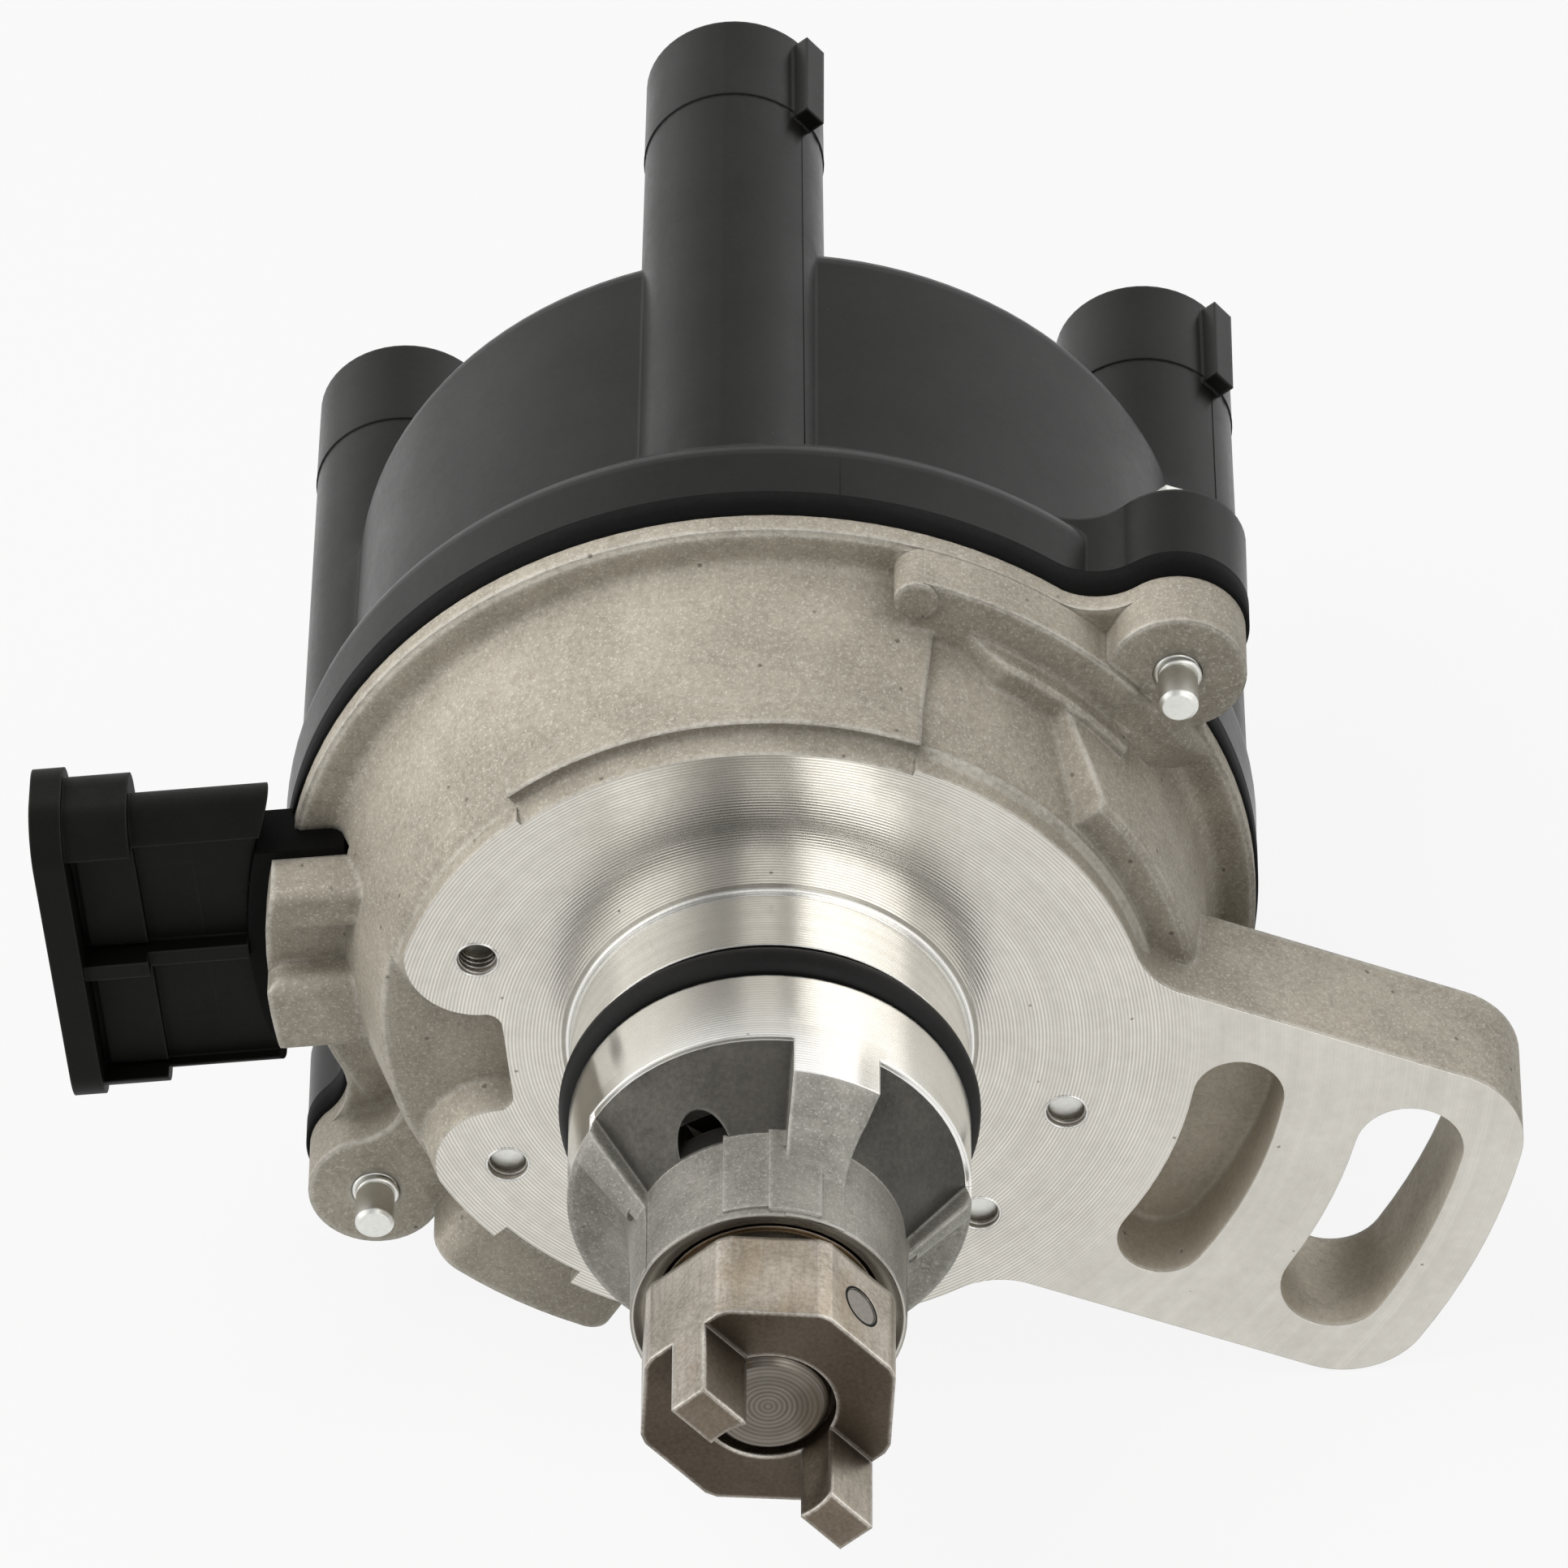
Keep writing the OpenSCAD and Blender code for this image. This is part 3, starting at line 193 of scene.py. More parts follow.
def newMaterial(name):
    material = bpy.data.materials.new(name)
    material.use_nodes = True
    tree = material.node_tree
    tree.nodes.clear()
    out = tree.nodes.new("ShaderNodeOutputMaterial")
    shader = tree.nodes.new("ShaderNodeBsdfPrincipled")
    tree.links.new(shader.outputs["BSDF"], out.inputs["Surface"])
    return material, tree, shader


# Effects that the materials share

# Soft mottling: broad stains, clouds, grain and fine bright specks
mottleSettings = {
    "stains": {"Scale": 38.0, "Detail": 4.0, "Roughness": 0.6, "Distortion": 0.6},
    "clouds": {"Scale": 95.0, "Detail": 3.0, "Roughness": 0.6},
    "grain": {"Detail": 4.0, "Roughness": 0.65},
    "specks": {"Detail": 2.0, "Roughness": 0.5},
    "speckFineness": 2.3,      # against the grain
    "stainRange": (0.5, 0.68), "cloudRange": (0.35, 0.65),
    "grainRange": (0.3, 0.7), "grainShare": 0.6,
    "speckRange": (0.56, 0.68), "speckHeight": 0.5,
}


def makeMottleGroup(s):
    group, given, out = newGroup(
        "mottle", {"Grain Size": 0.8, "Clouds": 0.5, "Specks": 0.5}, ("Tone", "Specks", "Stains", "Height"))
    where = objectPlace(group)
    scale = calculate(group, "DIVIDE", perMetre, given["Grain Size"])
    fine = calculate(group, "MULTIPLY", scale, s["speckFineness"])
    stains = noise(group, where, s["stains"])
    clouds = noise(group, where, s["clouds"])
    grain = noise(group, where, s["grain"] | {"Scale": scale})
    specks = noise(group, where, s["specks"] | {"Scale": fine})
    cloudTone = calculate(group, "MULTIPLY", centreRange(group, clouds, *s["cloudRange"]), given["Clouds"])
    grainTone = calculate(group, "MULTIPLY", centreRange(group, grain, *s["grainRange"]), s["grainShare"])
    mixed = calculate(group, "ADD", cloudTone, grainTone)
    speckMask = fitRange(group, specks, *s["speckRange"])
    speckRise = calculate(group, "MULTIPLY", specks, s["speckHeight"])
    feed(group, calculate(group, "ADD", mixed, 0.5, clamp=True), out["Tone"])
    feed(group, calculate(group, "MULTIPLY", speckMask, given["Specks"]), out["Specks"])
    feed(group, fitRange(group, stains, *s["stainRange"]), out["Stains"])
    feed(group, calculate(group, "ADD", grain, speckRise), out["Height"])
    return group


# Small pits and specks of dirt, with ragged outlines
pitSettings = {"ragged": {"Scale": 2600.0, "Detail": 2.0}, "reach": 0.00035, "core": 0.55}


def makePitGroup(s):
    group, given, out = newGroup("pits", {"Spacing": 3.0, "Size": 0.25, "Share": 0.4}, ("Mask",))
    where = objectPlace(group)
    ragged = put(group, "ShaderNodeTexNoise", {"Vector": where} | s["ragged"]).outputs["Color"]
    bent = calculateVector(group, "SCALE", {0: ragged, "Scale": s["reach"]}).outputs[0]
    bent = calculateVector(group, "ADD", {0: where, 1: bent}).outputs[0]
    scale = calculate(group, "DIVIDE", perMetre, given["Spacing"])
    cells = put(group, "ShaderNodeTexVoronoi", {"Vector": bent, "Scale": scale}).outputs
    edge = calculate(group, "DIVIDE", given["Size"], given["Spacing"])
    near = fitRange(group, cells["Distance"], edge, calculate(group, "MULTIPLY", edge, s["core"]))
    chance = put(group, "ShaderNodeSeparateXYZ", {0: cells["Color"]}).outputs[0]
    chosen = calculate(group, "LESS_THAN", chance, given["Share"])
    feed(group, calculate(group, "MULTIPLY", near, chosen), out["Mask"])
    return group


# Worn outer edges, and painted shade in inner corners from ambient occlusion
edgeSettings = {"samples": 6, "wearRange": (0.995, 0.85), "openRange": (0.5, 0.95)}


def makeEdgeGroup(s):
    group, given, out = newGroup(
        "edges", {"Radius": 0.0005, "Corner Reach": 0.004}, ("Normal", "Wear", "Corner Shade"))
    bevel = put(group, "ShaderNodeBevel", {"Radius": given["Radius"]}, samples=s["samples"]).outputs[0]
    surface = put(group, "ShaderNodeNewGeometry").outputs["Normal"]
    alike = calculateVector(group, "DOT_PRODUCT", {0: bevel, 1: surface}).outputs["Value"]
    shade = put(group, "ShaderNodeAmbientOcclusion", {"Distance": given["Corner Reach"]},
                samples=s["samples"], only_local=True).outputs["AO"]
    turned = fitRange(group, alike, *s["wearRange"])
    openness = fitRange(group, shade, *s["openRange"])
    feed(group, bevel, out["Normal"])
    feed(group, calculate(group, "MULTIPLY", turned, openness), out["Wear"])
    feed(group, calculate(group, "SUBTRACT", 1.0, openness), out["Corner Shade"])
    return group


# Even rings left by turning about the shaft, on a face, a cone or a cylinder; they fade beyond a radius
turningSettings = {
    "bands": {"Scale": 0.5, "Detail": 4.0, "Roughness": 0.75},
    "bandRange": (0.35, 0.6, 0.6, 1.0), "toneRange": (0.3, 0.7),
    "fadeLength": 5.0, "faded": 0.07, "ripple": 0.9,
}


def makeTurningGroup(s):
    group, given, out = newGroup(
        "turning", {"Pitch": 0.3, "Bands": 0.5, "Reach": 100.0}, ("Height", "Tone"))
    parts = put(group, "ShaderNodeSeparateXYZ", {0: objectPlace(group)}).outputs
    flat = put(group, "ShaderNodeCombineXYZ", {0: parts[0], 2: parts[2]}).outputs[0]
    radius = calculateVector(group, "LENGTH", {0: flat}).outputs["Value"]
    radius = calculate(group, "MULTIPLY", radius, perMetre)
    along = calculate(group, "ADD", radius, calculate(group, "MULTIPLY", parts[1], perMetre))
    steps = calculate(group, "MULTIPLY", calculate(group, "DIVIDE", along, given["Pitch"]), 2 * math.pi)
    wave = fitRange(group, calculate(group, "SINE", steps), -1.0, 1.0)
    bands = put(group, "ShaderNodeTexNoise", {"W": along} | s["bands"], noise_dimensions="1D").outputs[0]
    end = calculate(group, "ADD", given["Reach"], s["fadeLength"])
    fade = fitRange(group, radius, given["Reach"], end, 1.0, s["faded"])
    strength = calculate(group, "MULTIPLY", fade, fitRange(group, bands, *s["bandRange"]))
    ripple = calculate(group, "MULTIPLY", calculate(group, "SUBTRACT", wave, 0.5), strength)
    tone = calculate(group, "MULTIPLY", centreRange(group, bands, *s["toneRange"]), given["Bands"])
    tone = calculate(group, "ADD", tone, calculate(group, "MULTIPLY", ripple, s["ripple"]))
    feed(group, calculate(group, "MULTIPLY", wave, strength), out["Height"])
    feed(group, calculate(group, "ADD", tone, 0.5, clamp=True), out["Tone"])
    return group


# Faint streaks drawn along the shaft, and blotches of oil
streakSettings = {
    "drawn": (1.0, 0.06, 1.0),
    "lines": {"Detail": 4.0, "Roughness": 0.7}, "lineRange": (0.5, 0.72),
    "blots": {"Scale": 210.0, "Detail": 5.0, "Roughness": 0.7}, "blotRange": (0.54, 0.66, 0.0, 0.8),
}


def makeStreakGroup(s):
    group, given, out = newGroup("streaks", {"Width": 0.5, "Strength": 0.5}, ("Mask",))
    where = objectPlace(group)
    drawn = calculateVector(group, "MULTIPLY", {0: where, 1: s["drawn"]}).outputs[0]
    scale = calculate(group, "DIVIDE", perMetre, given["Width"])
    lines = fitRange(group, noise(group, drawn, s["lines"] | {"Scale": scale}), *s["lineRange"])
    blots = fitRange(group, noise(group, where, s["blots"]), *s["blotRange"])
    mask = calculate(group, "MAXIMUM", lines, blots)
    feed(group, calculate(group, "MULTIPLY", mask, given["Strength"]), out["Mask"])
    return group


mottle = makeMottleGroup(mottleSettings)
streaks = makeStreakGroup(streakSettings)
pits = makePitGroup(pitSettings)
edges = makeEdgeGroup(edgeSettings)
turning = makeTurningGroup(turningSettings)
print("shared effects built")


# The shared effects with a material's own values, in mm
def useMottle(tree, grain, clouds, specks):
    return useGroup(tree, mottle, {"Grain Size": grain, "Clouds": clouds, "Specks": specks})


def usePits(tree, spacing, size, share):
    return useGroup(tree, pits, {"Spacing": spacing, "Size": size, "Share": share})["Mask"]


def useEdges(tree, radius, reach):
    return useGroup(tree, edges, {"Radius": radius * mm, "Corner Reach": reach * mm})


# Mixes another colour in where a mask says so
def tint(tree, colour, mask, share, other):
    return mixColours(tree, calculate(tree, "MULTIPLY", mask, share), colour, other)


# How far edges are rubbed: least where the skin is dark, most where it is light
rubbedTone = (0.2, 0.7)


def rubEdges(tree, edge, skin, least, most):
    return calculate(tree, "MULTIPLY", edge["Wear"], fitRange(tree, skin["Tone"], *rubbedTone, least, most))


# What every finish has: its colour, its roughness, lower where the tone is light, and its fine relief
def coverSurface(tree, shader, s, colour, tone, height, normal):
    dull, bright = s["spread"]
    rough = fitRange(tree, tone, 0.0, 1.0, s["rough"] + dull, s["rough"] - bright)
    relief = {"Height": height, "Normal": normal, "Strength": s["relief"], "Distance": s["depth"] * mm}
    feed(tree, colour, shader.inputs["Base Color"])
    feed(tree, rough, shader.inputs["Roughness"])
    feed(tree, put(tree, "ShaderNodeBump", relief).outputs[0], shader.inputs["Normal"])


# Cast aluminium: the housing's skin and its hub; a lighter copy for its slots, which paints the light on
# their walls; and darker copies for the floors of its windows and for its inlet, which paint the shade
# there
castFinish = {
    "dark": (0.27, 0.242, 0.196, 1), "light": (0.48, 0.437, 0.36, 1),
    "worn": (0.74, 0.71, 0.64, 1), "grimeAndShade": (0.125, 0.108, 0.085, 1),
    "grain": 0.62, "clouds": 0.45, "specks": 0.8, "speckShare": 0.5, "stains": 0.35,
    "pits": 0.35, "pitSpacing": 2.7, "pitSize": 0.3, "pitShare": 0.75,
    "metal": 0.3, "rough": 0.55, "spread": (0.08, 0.06), "gloss": 0.2, "relief": 0.55, "depth": 0.085,
    "wear": 1.0, "leastWear": 0.35, "radius": 1.2, "corners": 0.32, "reach": 5.0,
}
hubFinish = castFinish | {
    "dark": (0.2, 0.192, 0.168, 1), "light": (0.34, 0.326, 0.29, 1), "worn": (0.6, 0.585, 0.54, 1),
    "grain": 0.55, "clouds": 0.8, "stains": 0.2, "metal": 0.6, "rough": 0.45, "depth": 0.025, "radius": 0.8,
}
# painted shade: the window floors get a darker copy of the hub casting
windowShadeFinish = hubFinish | {
    "dark": (0.055, 0.051, 0.045, 1), "light": (0.11, 0.103, 0.09, 1),
    "worn": (0.3, 0.29, 0.26, 1), "grimeAndShade": (0.03, 0.028, 0.024, 1),
    "metal": 0.5, "radius": 0.4, "wear": 0.5, "pits": 0.15, "specks": 0.12,
}
# painted light: the slots' walls get a lighter copy of the cast skin, with less corner shade, for the fill
# light that reaches them
slotLitFinish = castFinish | {"dark": (0.46, 0.415, 0.34, 1), "light": (0.72, 0.66, 0.55, 1), "corners": 0.1}
# painted shade: the inlet and the bore inside the hub get a near-black copy
inletShadeFinish = windowShadeFinish | {
    "dark": (0.012, 0.011, 0.01, 1), "light": (0.02, 0.018, 0.016, 1), "specks": 0.0, "gloss": 0.1,
}


def castMaterial(name, s):
    material, tree, shader = newMaterial(name)
    skin = useMottle(tree, s["grain"], s["clouds"], s["specks"])
    edge = useEdges(tree, s["radius"], s["reach"])
    pit = usePits(tree, s["pitSpacing"], s["pitSize"], s["pits"])
    colour = mixColours(tree, skin["Tone"], s["dark"], s["light"])
    colour = tint(tree, colour, skin["Stains"], s["stains"], s["dark"])
    colour = tint(tree, colour, skin["Specks"], s["speckShare"], s["worn"])
    # painted shade: inner corners darkened towards the grime-and-shade colour where ambient occlusion finds
    # them
    colour = tint(tree, colour, edge["Corner Shade"], s["corners"], s["grimeAndShade"])
    colour = mixColours(tree, rubEdges(tree, edge, skin, s["leastWear"], s["wear"]), colour, s["worn"])
    colour = tint(tree, colour, pit, s["pitShare"], s["grimeAndShade"])
    height = calculate(tree, "SUBTRACT", skin["Height"], pit)
    coverSurface(tree, shader, s, colour, skin["Tone"], height, edge["Normal"])
    shader.inputs["Metallic"].default_value = s["metal"]
    shader.inputs["Specular IOR Level"].default_value = s["gloss"]
    return material


# Turned aluminium and steel: the mounting face, the pilot, the hub's mouth and the shaft's end
faceFinish = {
    "dark": (0.48, 0.458, 0.41, 1), "light": (0.79, 0.765, 0.705, 1), "grimeAndShade": (0.2, 0.18, 0.15, 1),
    "pitch": 0.36, "bands": 0.15, "reach": 39.0, "grain": 1.5, "clouds": 0.5, "mottle": 0.16,
    "pits": 0.22, "pitSpacing": 2.6, "pitSize": 0.22, "pitShare": 0.8,
    "rough": 0.18, "spread": (0.05, 0.05), "relief": 0.6, "depth": 0.013,
    "anisotropy": 0.85, "grooveTurn": 0.25, "radius": 0.2, "cornerReach": 4.0,
}
pilotFinish = faceFinish | {
    "dark": (0.8, 0.785, 0.745, 1), "light": (0.98, 0.97, 0.94, 1), "rough": 0.2,
    "depth": 0.0025, "anisotropy": 0.5, "bands": 0.5, "pits": 0.1, "radius": 0.35,
}
mouthFinish = pilotFinish | {
    "dark": (0.34, 0.325, 0.29, 1), "light": (0.62, 0.6, 0.55, 1),
    "pitch": 0.4, "rough": 0.3, "depth": 0.03, "radius": 0.2,
}
shaftEndFinish = mouthFinish | {
    "dark": (0.115, 0.1, 0.083, 1), "light": (0.2, 0.18, 0.155, 1),
    "pitch": 0.5, "depth": 0.004, "anisotropy": 0.6, "bands": 0.9, "radius": 0.3,
}


def turnedMaterial(name, s):
    material, tree, shader = newMaterial(name)
    rings = useGroup(tree, turning, {"Pitch": s["pitch"], "Bands": s["bands"], "Reach": s["reach"]})
    edge = useEdges(tree, s["radius"], s["cornerReach"])
    skin = useMottle(tree, s["grain"], s["clouds"], 0.0)
    pit = usePits(tree, s["pitSpacing"], s["pitSize"], s["pits"])
    blotchy = fitRange(tree, skin["Tone"], 0.0, 1.0, -s["mottle"], s["mottle"])
    tone = calculate(tree, "ADD", rings["Tone"], blotchy, clamp=True)
    colour = mixColours(tree, tone, s["dark"], s["light"])
    colour = tint(tree, colour, pit, s["pitShare"], s["grimeAndShade"])
    coverSurface(tree, shader, s, colour, tone, rings["Height"], edge["Normal"])
    tangent = put(tree, "ShaderNodeTangent", direction_type="RADIAL", axis="Y").outputs[0]
    feed(tree, tangent, shader.inputs["Tangent"])
    shader.inputs["Metallic"].default_value = 1.0
    shader.inputs["Anisotropic"].default_value = s["anisotropy"]
    shader.inputs["Anisotropic Rotation"].default_value = s["grooveTurn"]
    return material


# Other metals
metalFinish = {
    "rough": 0.35, "spread": (0.07, 0.05), "relief": 0.4, "depth": 0.01, "metal": 1.0,
    "grain": 0.5, "clouds": 0.5, "specks": 0.2, "streakWidth": 0.6, "streaks": 0.15,
    "wear": 0.4, "leastWear": 0.4, "worn": (0.8, 0.79, 0.76, 1), "radius": 0.2,
    "grimeAndShade": (0.1, 0.09, 0.075, 1), "corners": 0.3, "reach": 2.0,
    "stains": 0.1, "stain": (0.3, 0.25, 0.18, 1),
}
sinteredFinish = {
    "rough": 0.42, "grain": 0.45, "depth": 0.02, "wear": 1.0, "worn": (0.72, 0.67, 0.6, 1), "radius": 0.75,
}
metals = {
    "sinteredSteel": sinteredFinish | {
        "dark": (0.27, 0.235, 0.19, 1), "light": (0.68, 0.62, 0.54, 1), "worn": (0.88, 0.85, 0.79, 1),
        "rough": 0.31, "streaks": 0.6, "corners": 0.85, "reach": 7.0,
        "stains": 0.75, "stain": (0.36, 0.265, 0.155, 1)},
    # painted shade: darker copies of the sintered steel for the faces that look along the shaft, the
    # tongues' ends less dark
    "sinteredShadedFront": sinteredFinish | {
        "dark": (0.06, 0.046, 0.034, 1), "light": (0.115, 0.094, 0.072, 1),
        "corners": 0.7, "reach": 5.0, "grimeAndShade": (0.04, 0.033, 0.026, 1)},
    "sinteredShadedEnd": sinteredFinish | {
        "dark": (0.13, 0.103, 0.076, 1), "light": (0.24, 0.2, 0.155, 1), "corners": 0.5},
    "zincPlate": {
        "dark": (0.72, 0.72, 0.68, 1), "light": (0.86, 0.86, 0.82, 1), "rough": 0.34, "radius": 0.25},
    "pinSteel": {
        "dark": (0.24, 0.225, 0.2, 1), "light": (0.36, 0.34, 0.31, 1), "rough": 0.36,
        "radius": 0.25, "wear": 0.3},
    "groundSteel": {
        "dark": (0.4, 0.375, 0.34, 1), "light": (0.55, 0.52, 0.475, 1), "rough": 0.3,
        "radius": 0.35, "wear": 0.8},
    "laminatedSteel": {"dark": (0.25, 0.25, 0.25, 1), "light": (0.36, 0.36, 0.36, 1), "rough": 0.4},
    # painted shade: the bronze is darkened for the hub bush, which sits in the dark gap at the hub's mouth
    "shadedSinteredBronze": {"dark": (0.16, 0.11, 0.06, 1), "light": (0.26, 0.18, 0.1, 1), "rough": 0.4},
    "brass": {"dark": (0.72, 0.55, 0.26, 1), "light": (0.85, 0.68, 0.36, 1), "rough": 0.28},
    "plainAluminium": {"dark": (0.66, 0.66, 0.65, 1), "light": (0.8, 0.8, 0.79, 1)},
}


def metalMaterial(name, s):
    material, tree, shader = newMaterial(name)
    skin = useMottle(tree, s["grain"], s["clouds"], s["specks"])
    edge = useEdges(tree, s["radius"], s["reach"])
    streak = useGroup(tree, streaks, {"Width": s["streakWidth"], "Strength": s["streaks"]})["Mask"]
    colour = mixColours(tree, skin["Tone"], s["dark"], s["light"])
    colour = tint(tree, colour, skin["Stains"], s["stains"], s["stain"])
    colour = mixColours(tree, streak, colour, s["dark"])
    # painted shade: inner corners darkened towards the grime-and-shade colour where ambient occlusion finds
    # them
    colour = tint(tree, colour, edge["Corner Shade"], s["corners"], s["grimeAndShade"])
    rubbed = rubEdges(tree, edge, skin, s["leastWear"] * s["wear"], s["wear"])
    colour = mixColours(tree, rubbed, colour, s["worn"])
    coverSurface(tree, shader, s, colour, skin["Tone"], skin["Height"], edge["Normal"])
    shader.inputs["Metallic"].default_value = s["metal"]
    return material


# Moulded plastics and rubbers
plasticFinish = {
    "rough": 0.4, "spread": (0.05, 0.04), "relief": 0.35, "depth": 0.006, "gloss": 0.5,
    "grain": 0.7, "clouds": 0.6, "specks": 0.2, "radius": 0.4, "reach": 3.0,
    "wear": 0.0, "worn": (0.08, 0.08, 0.078, 1),
    "dust": 0.0, "dustSpacing": 4.5, "dustSize": 0.16, "dustShare": 0.5,
}
plastics = {
    "capPlastic": {
        "dark": (0.0042, 0.004, 0.0036, 1), "light": (0.0078, 0.0075, 0.0067, 1),
        "rough": 0.31, "gloss": 0.18, "depth": 0.004, "dust": 0.3, "wear": 0.2, "radius": 0.5},
    "seamPlastic": {
        "dark": (0.003, 0.003, 0.0028, 1), "light": (0.006, 0.006, 0.0055, 1), "rough": 0.6, "gloss": 0.2},
    "connectorPlastic": {
        "dark": (0.002, 0.002, 0.0016, 1), "light": (0.0045, 0.0044, 0.0036, 1),
        "rough": 0.55, "gloss": 0.14, "grain": 0.4, "depth": 0.015,
        "dust": 0.5, "wear": 0.35, "radius": 0.35},
    "sealRubber": {
        "dark": (0.004, 0.004, 0.0038, 1), "light": (0.0075, 0.0073, 0.007, 1), "rough": 0.5, "gloss": 0.2,
        "grain": 0.5, "dust": 0.3},
    "gasketRubber": {
        "dark": (0.0015, 0.0015, 0.0015, 1), "light": (0.003, 0.003, 0.0028, 1), "rough": 0.7, "gloss": 0.1,
        "grain": 0.5},
    "rotorPlastic": {"dark": (0.11, 0.045, 0.025, 1), "light": (0.17, 0.075, 0.04, 1)},
    "coilPlastic": {"dark": (0.018, 0.018, 0.02, 1), "light": (0.03, 0.03, 0.033, 1), "rough": 0.5},
    "pressedCarbon": {
        "dark": (0.02, 0.02, 0.02, 1), "light": (0.04, 0.04, 0.04, 1), "rough": 0.5, "dust": 0.3},
}


def plasticMaterial(name, s):
    material, tree, shader = newMaterial(name)
    skin = useMottle(tree, s["grain"], s["clouds"], s["specks"])
    edge = useEdges(tree, s["radius"], s["reach"])
    dust = usePits(tree, s["dustSpacing"], s["dustSize"], s["dust"])
    colour = mixColours(tree, skin["Tone"], s["dark"], s["light"])
    colour = tint(tree, colour, edge["Wear"], s["wear"], s["worn"])
    colour = tint(tree, colour, dust, s["dustShare"], s["worn"])
    coverSurface(tree, shader, s, colour, skin["Tone"], skin["Height"], edge["Normal"])
    shader.inputs["Specular IOR Level"].default_value = s["gloss"]
    return material


finishes = {}
castings = {
    "castSkin": castFinish, "hubCasting": hubFinish, "windowShadeCasting": windowShadeFinish,
    "inletShadeCasting": inletShadeFinish, "slotLitCasting": slotLitFinish,
}
turnings = {
    "turnedFace": faceFinish, "turnedPilot": pilotFinish, "turnedMouth": mouthFinish,
    "shaftEnd": shaftEndFinish,
}
for name, settings in castings.items():
    finishes[name] = castMaterial(name, settings)
for name, settings in turnings.items():
    finishes[name] = turnedMaterial(name, settings)
for name, settings in metals.items():
    finishes[name] = metalMaterial(name, metalFinish | settings)
for name, settings in plastics.items():
    finishes[name] = plasticMaterial(name, plasticFinish | settings)
print("materials made:", len(finishes))


dressing = {
    "pilot_o_ring": "sealRubber",
    "hub_bush": "shadedSinteredBronze",
    "oil_seal": "sealRubber",
    "bearing_outer_race": "groundSteel",
    "bearing_inner_race": "groundSteel",
    "bearing_retaining_ring": "laminatedSteel",
    "bearing_balls": "groundSteel",
    "bearing_cage": "brass",
    "pickup_plate": "zincPlate",
    "pickup_screws": "zincPlate",
    "crank_pickup_core": "laminatedSteel",
    "crank_pickup_coil": "coilPlastic",
    "cam_pickup_core": "laminatedSteel",
    "cam_pickup_coil": "coilPlastic",
    "dust_cover": "coilPlastic",
    "cap_gasket": "gasketRubber",
    "distributor_cap": "capPlastic",
    "side_electrodes": "plainAluminium",
    "centre_terminal": "plainAluminium",
    "cap_screws": "zincPlate",
    "connector_shell": "connectorPlastic",
    "connector_terminals": "brass",
    "connector_grommet": "gasketRubber",
    "coupling_pin": "pinSteel",
    "thrust_washer": "groundSteel",
    "crank_signal_rotor": "laminatedSteel",
    "cam_signal_rotor": "laminatedSteel",
    "rotor_body": "rotorPlastic",
    "rotor_blade": "brass",
    "rotor_screws": "zincPlate",
    "carbon_brush": "pressedCarbon",
    "brush_spring": "laminatedSteel",
}


# A node's faces get one of these finishes by where they lie: place(x, y, z, facing),
# in the shaft's axes and mm
def dress(node, names, place=None):
    data = nodes[node].data
    data.materials.clear()
    for name in names:
        data.materials.append(finishes[name])
    if place:
        for face in data.polygons:
            c = face.center
            face.material_index = names.index(place(c.x / mm, c.z / mm, -c.y / mm, -face.normal.y))


# The housing is one casting with turned places. Lengths are in mm from the mounting face,
# angles about the shaft, and facing is 1 for a surface that looks along the shaft
housingSettings = {
    "flat": 0.03, "square": 0.99,
    "boreRadius": 11, "neckRadius": 20.5,
    "mouthZ": 39.5, "mouthRadius": 13.5, "mouthFacing": 0.3,
    "pilotRadius": 19.75, "pilotFacing": 0.3, "pilotEnd": 14,
    "rimZ": 22, "rimFlat": 0.05, "rimFacing": 0.9,
}
slotSettings = {
    "angle": -27, "deepest": -13, "shallowest": -0.05,
    "rings": ((42.5, 52.5, 18.5), (59.8, 71.6, 13.9)),     # from and to this radius, and half of the angle
}
windowSettings = {
    "angles": ((77, 146), (-5, 51)), "margin": 0.4, "low": 21.5, "high": 31, "hubRadius": 13.4,
    "leastFacing": 0.2, "mostFacing": 0.93,
}
inletSettings = {
    "ring": 13.2, "angle": 112, "radius": 2.79, "high": 29.9, "facing": 0.2,
    "insideRadius": 13.3, "insideHigh": 39,
}


def inSlot(radius, angle, z):
    s = slotSettings
    turned = abs((angle - s["angle"] + 180) % 360 - 180)
    near = any(low < radius < high and turned < half for low, high, half in s["rings"])
    return near and s["deepest"] < z < s["shallowest"]


def inInlet(x, y, z, facing):
    s = inletSettings
    if math.hypot(x, y) < s["insideRadius"] and z < s["insideHigh"]:
        return True
    turn = math.radians(s["angle"])
    away = math.hypot(x - s["ring"] * math.cos(turn), y - s["ring"] * math.sin(turn))
    return away < s["radius"] and z < s["high"] and facing < s["facing"]


def onWindowFloor(radius, angle, z, facing):
    s = windowSettings
    if not any(low - s["margin"] < angle < high + s["margin"] for low, high in s["angles"]):
        return False
    if not s["low"] < z < s["high"] or radius <= s["hubRadius"]:
        return False
    return s["leastFacing"] < facing < s["mostFacing"]


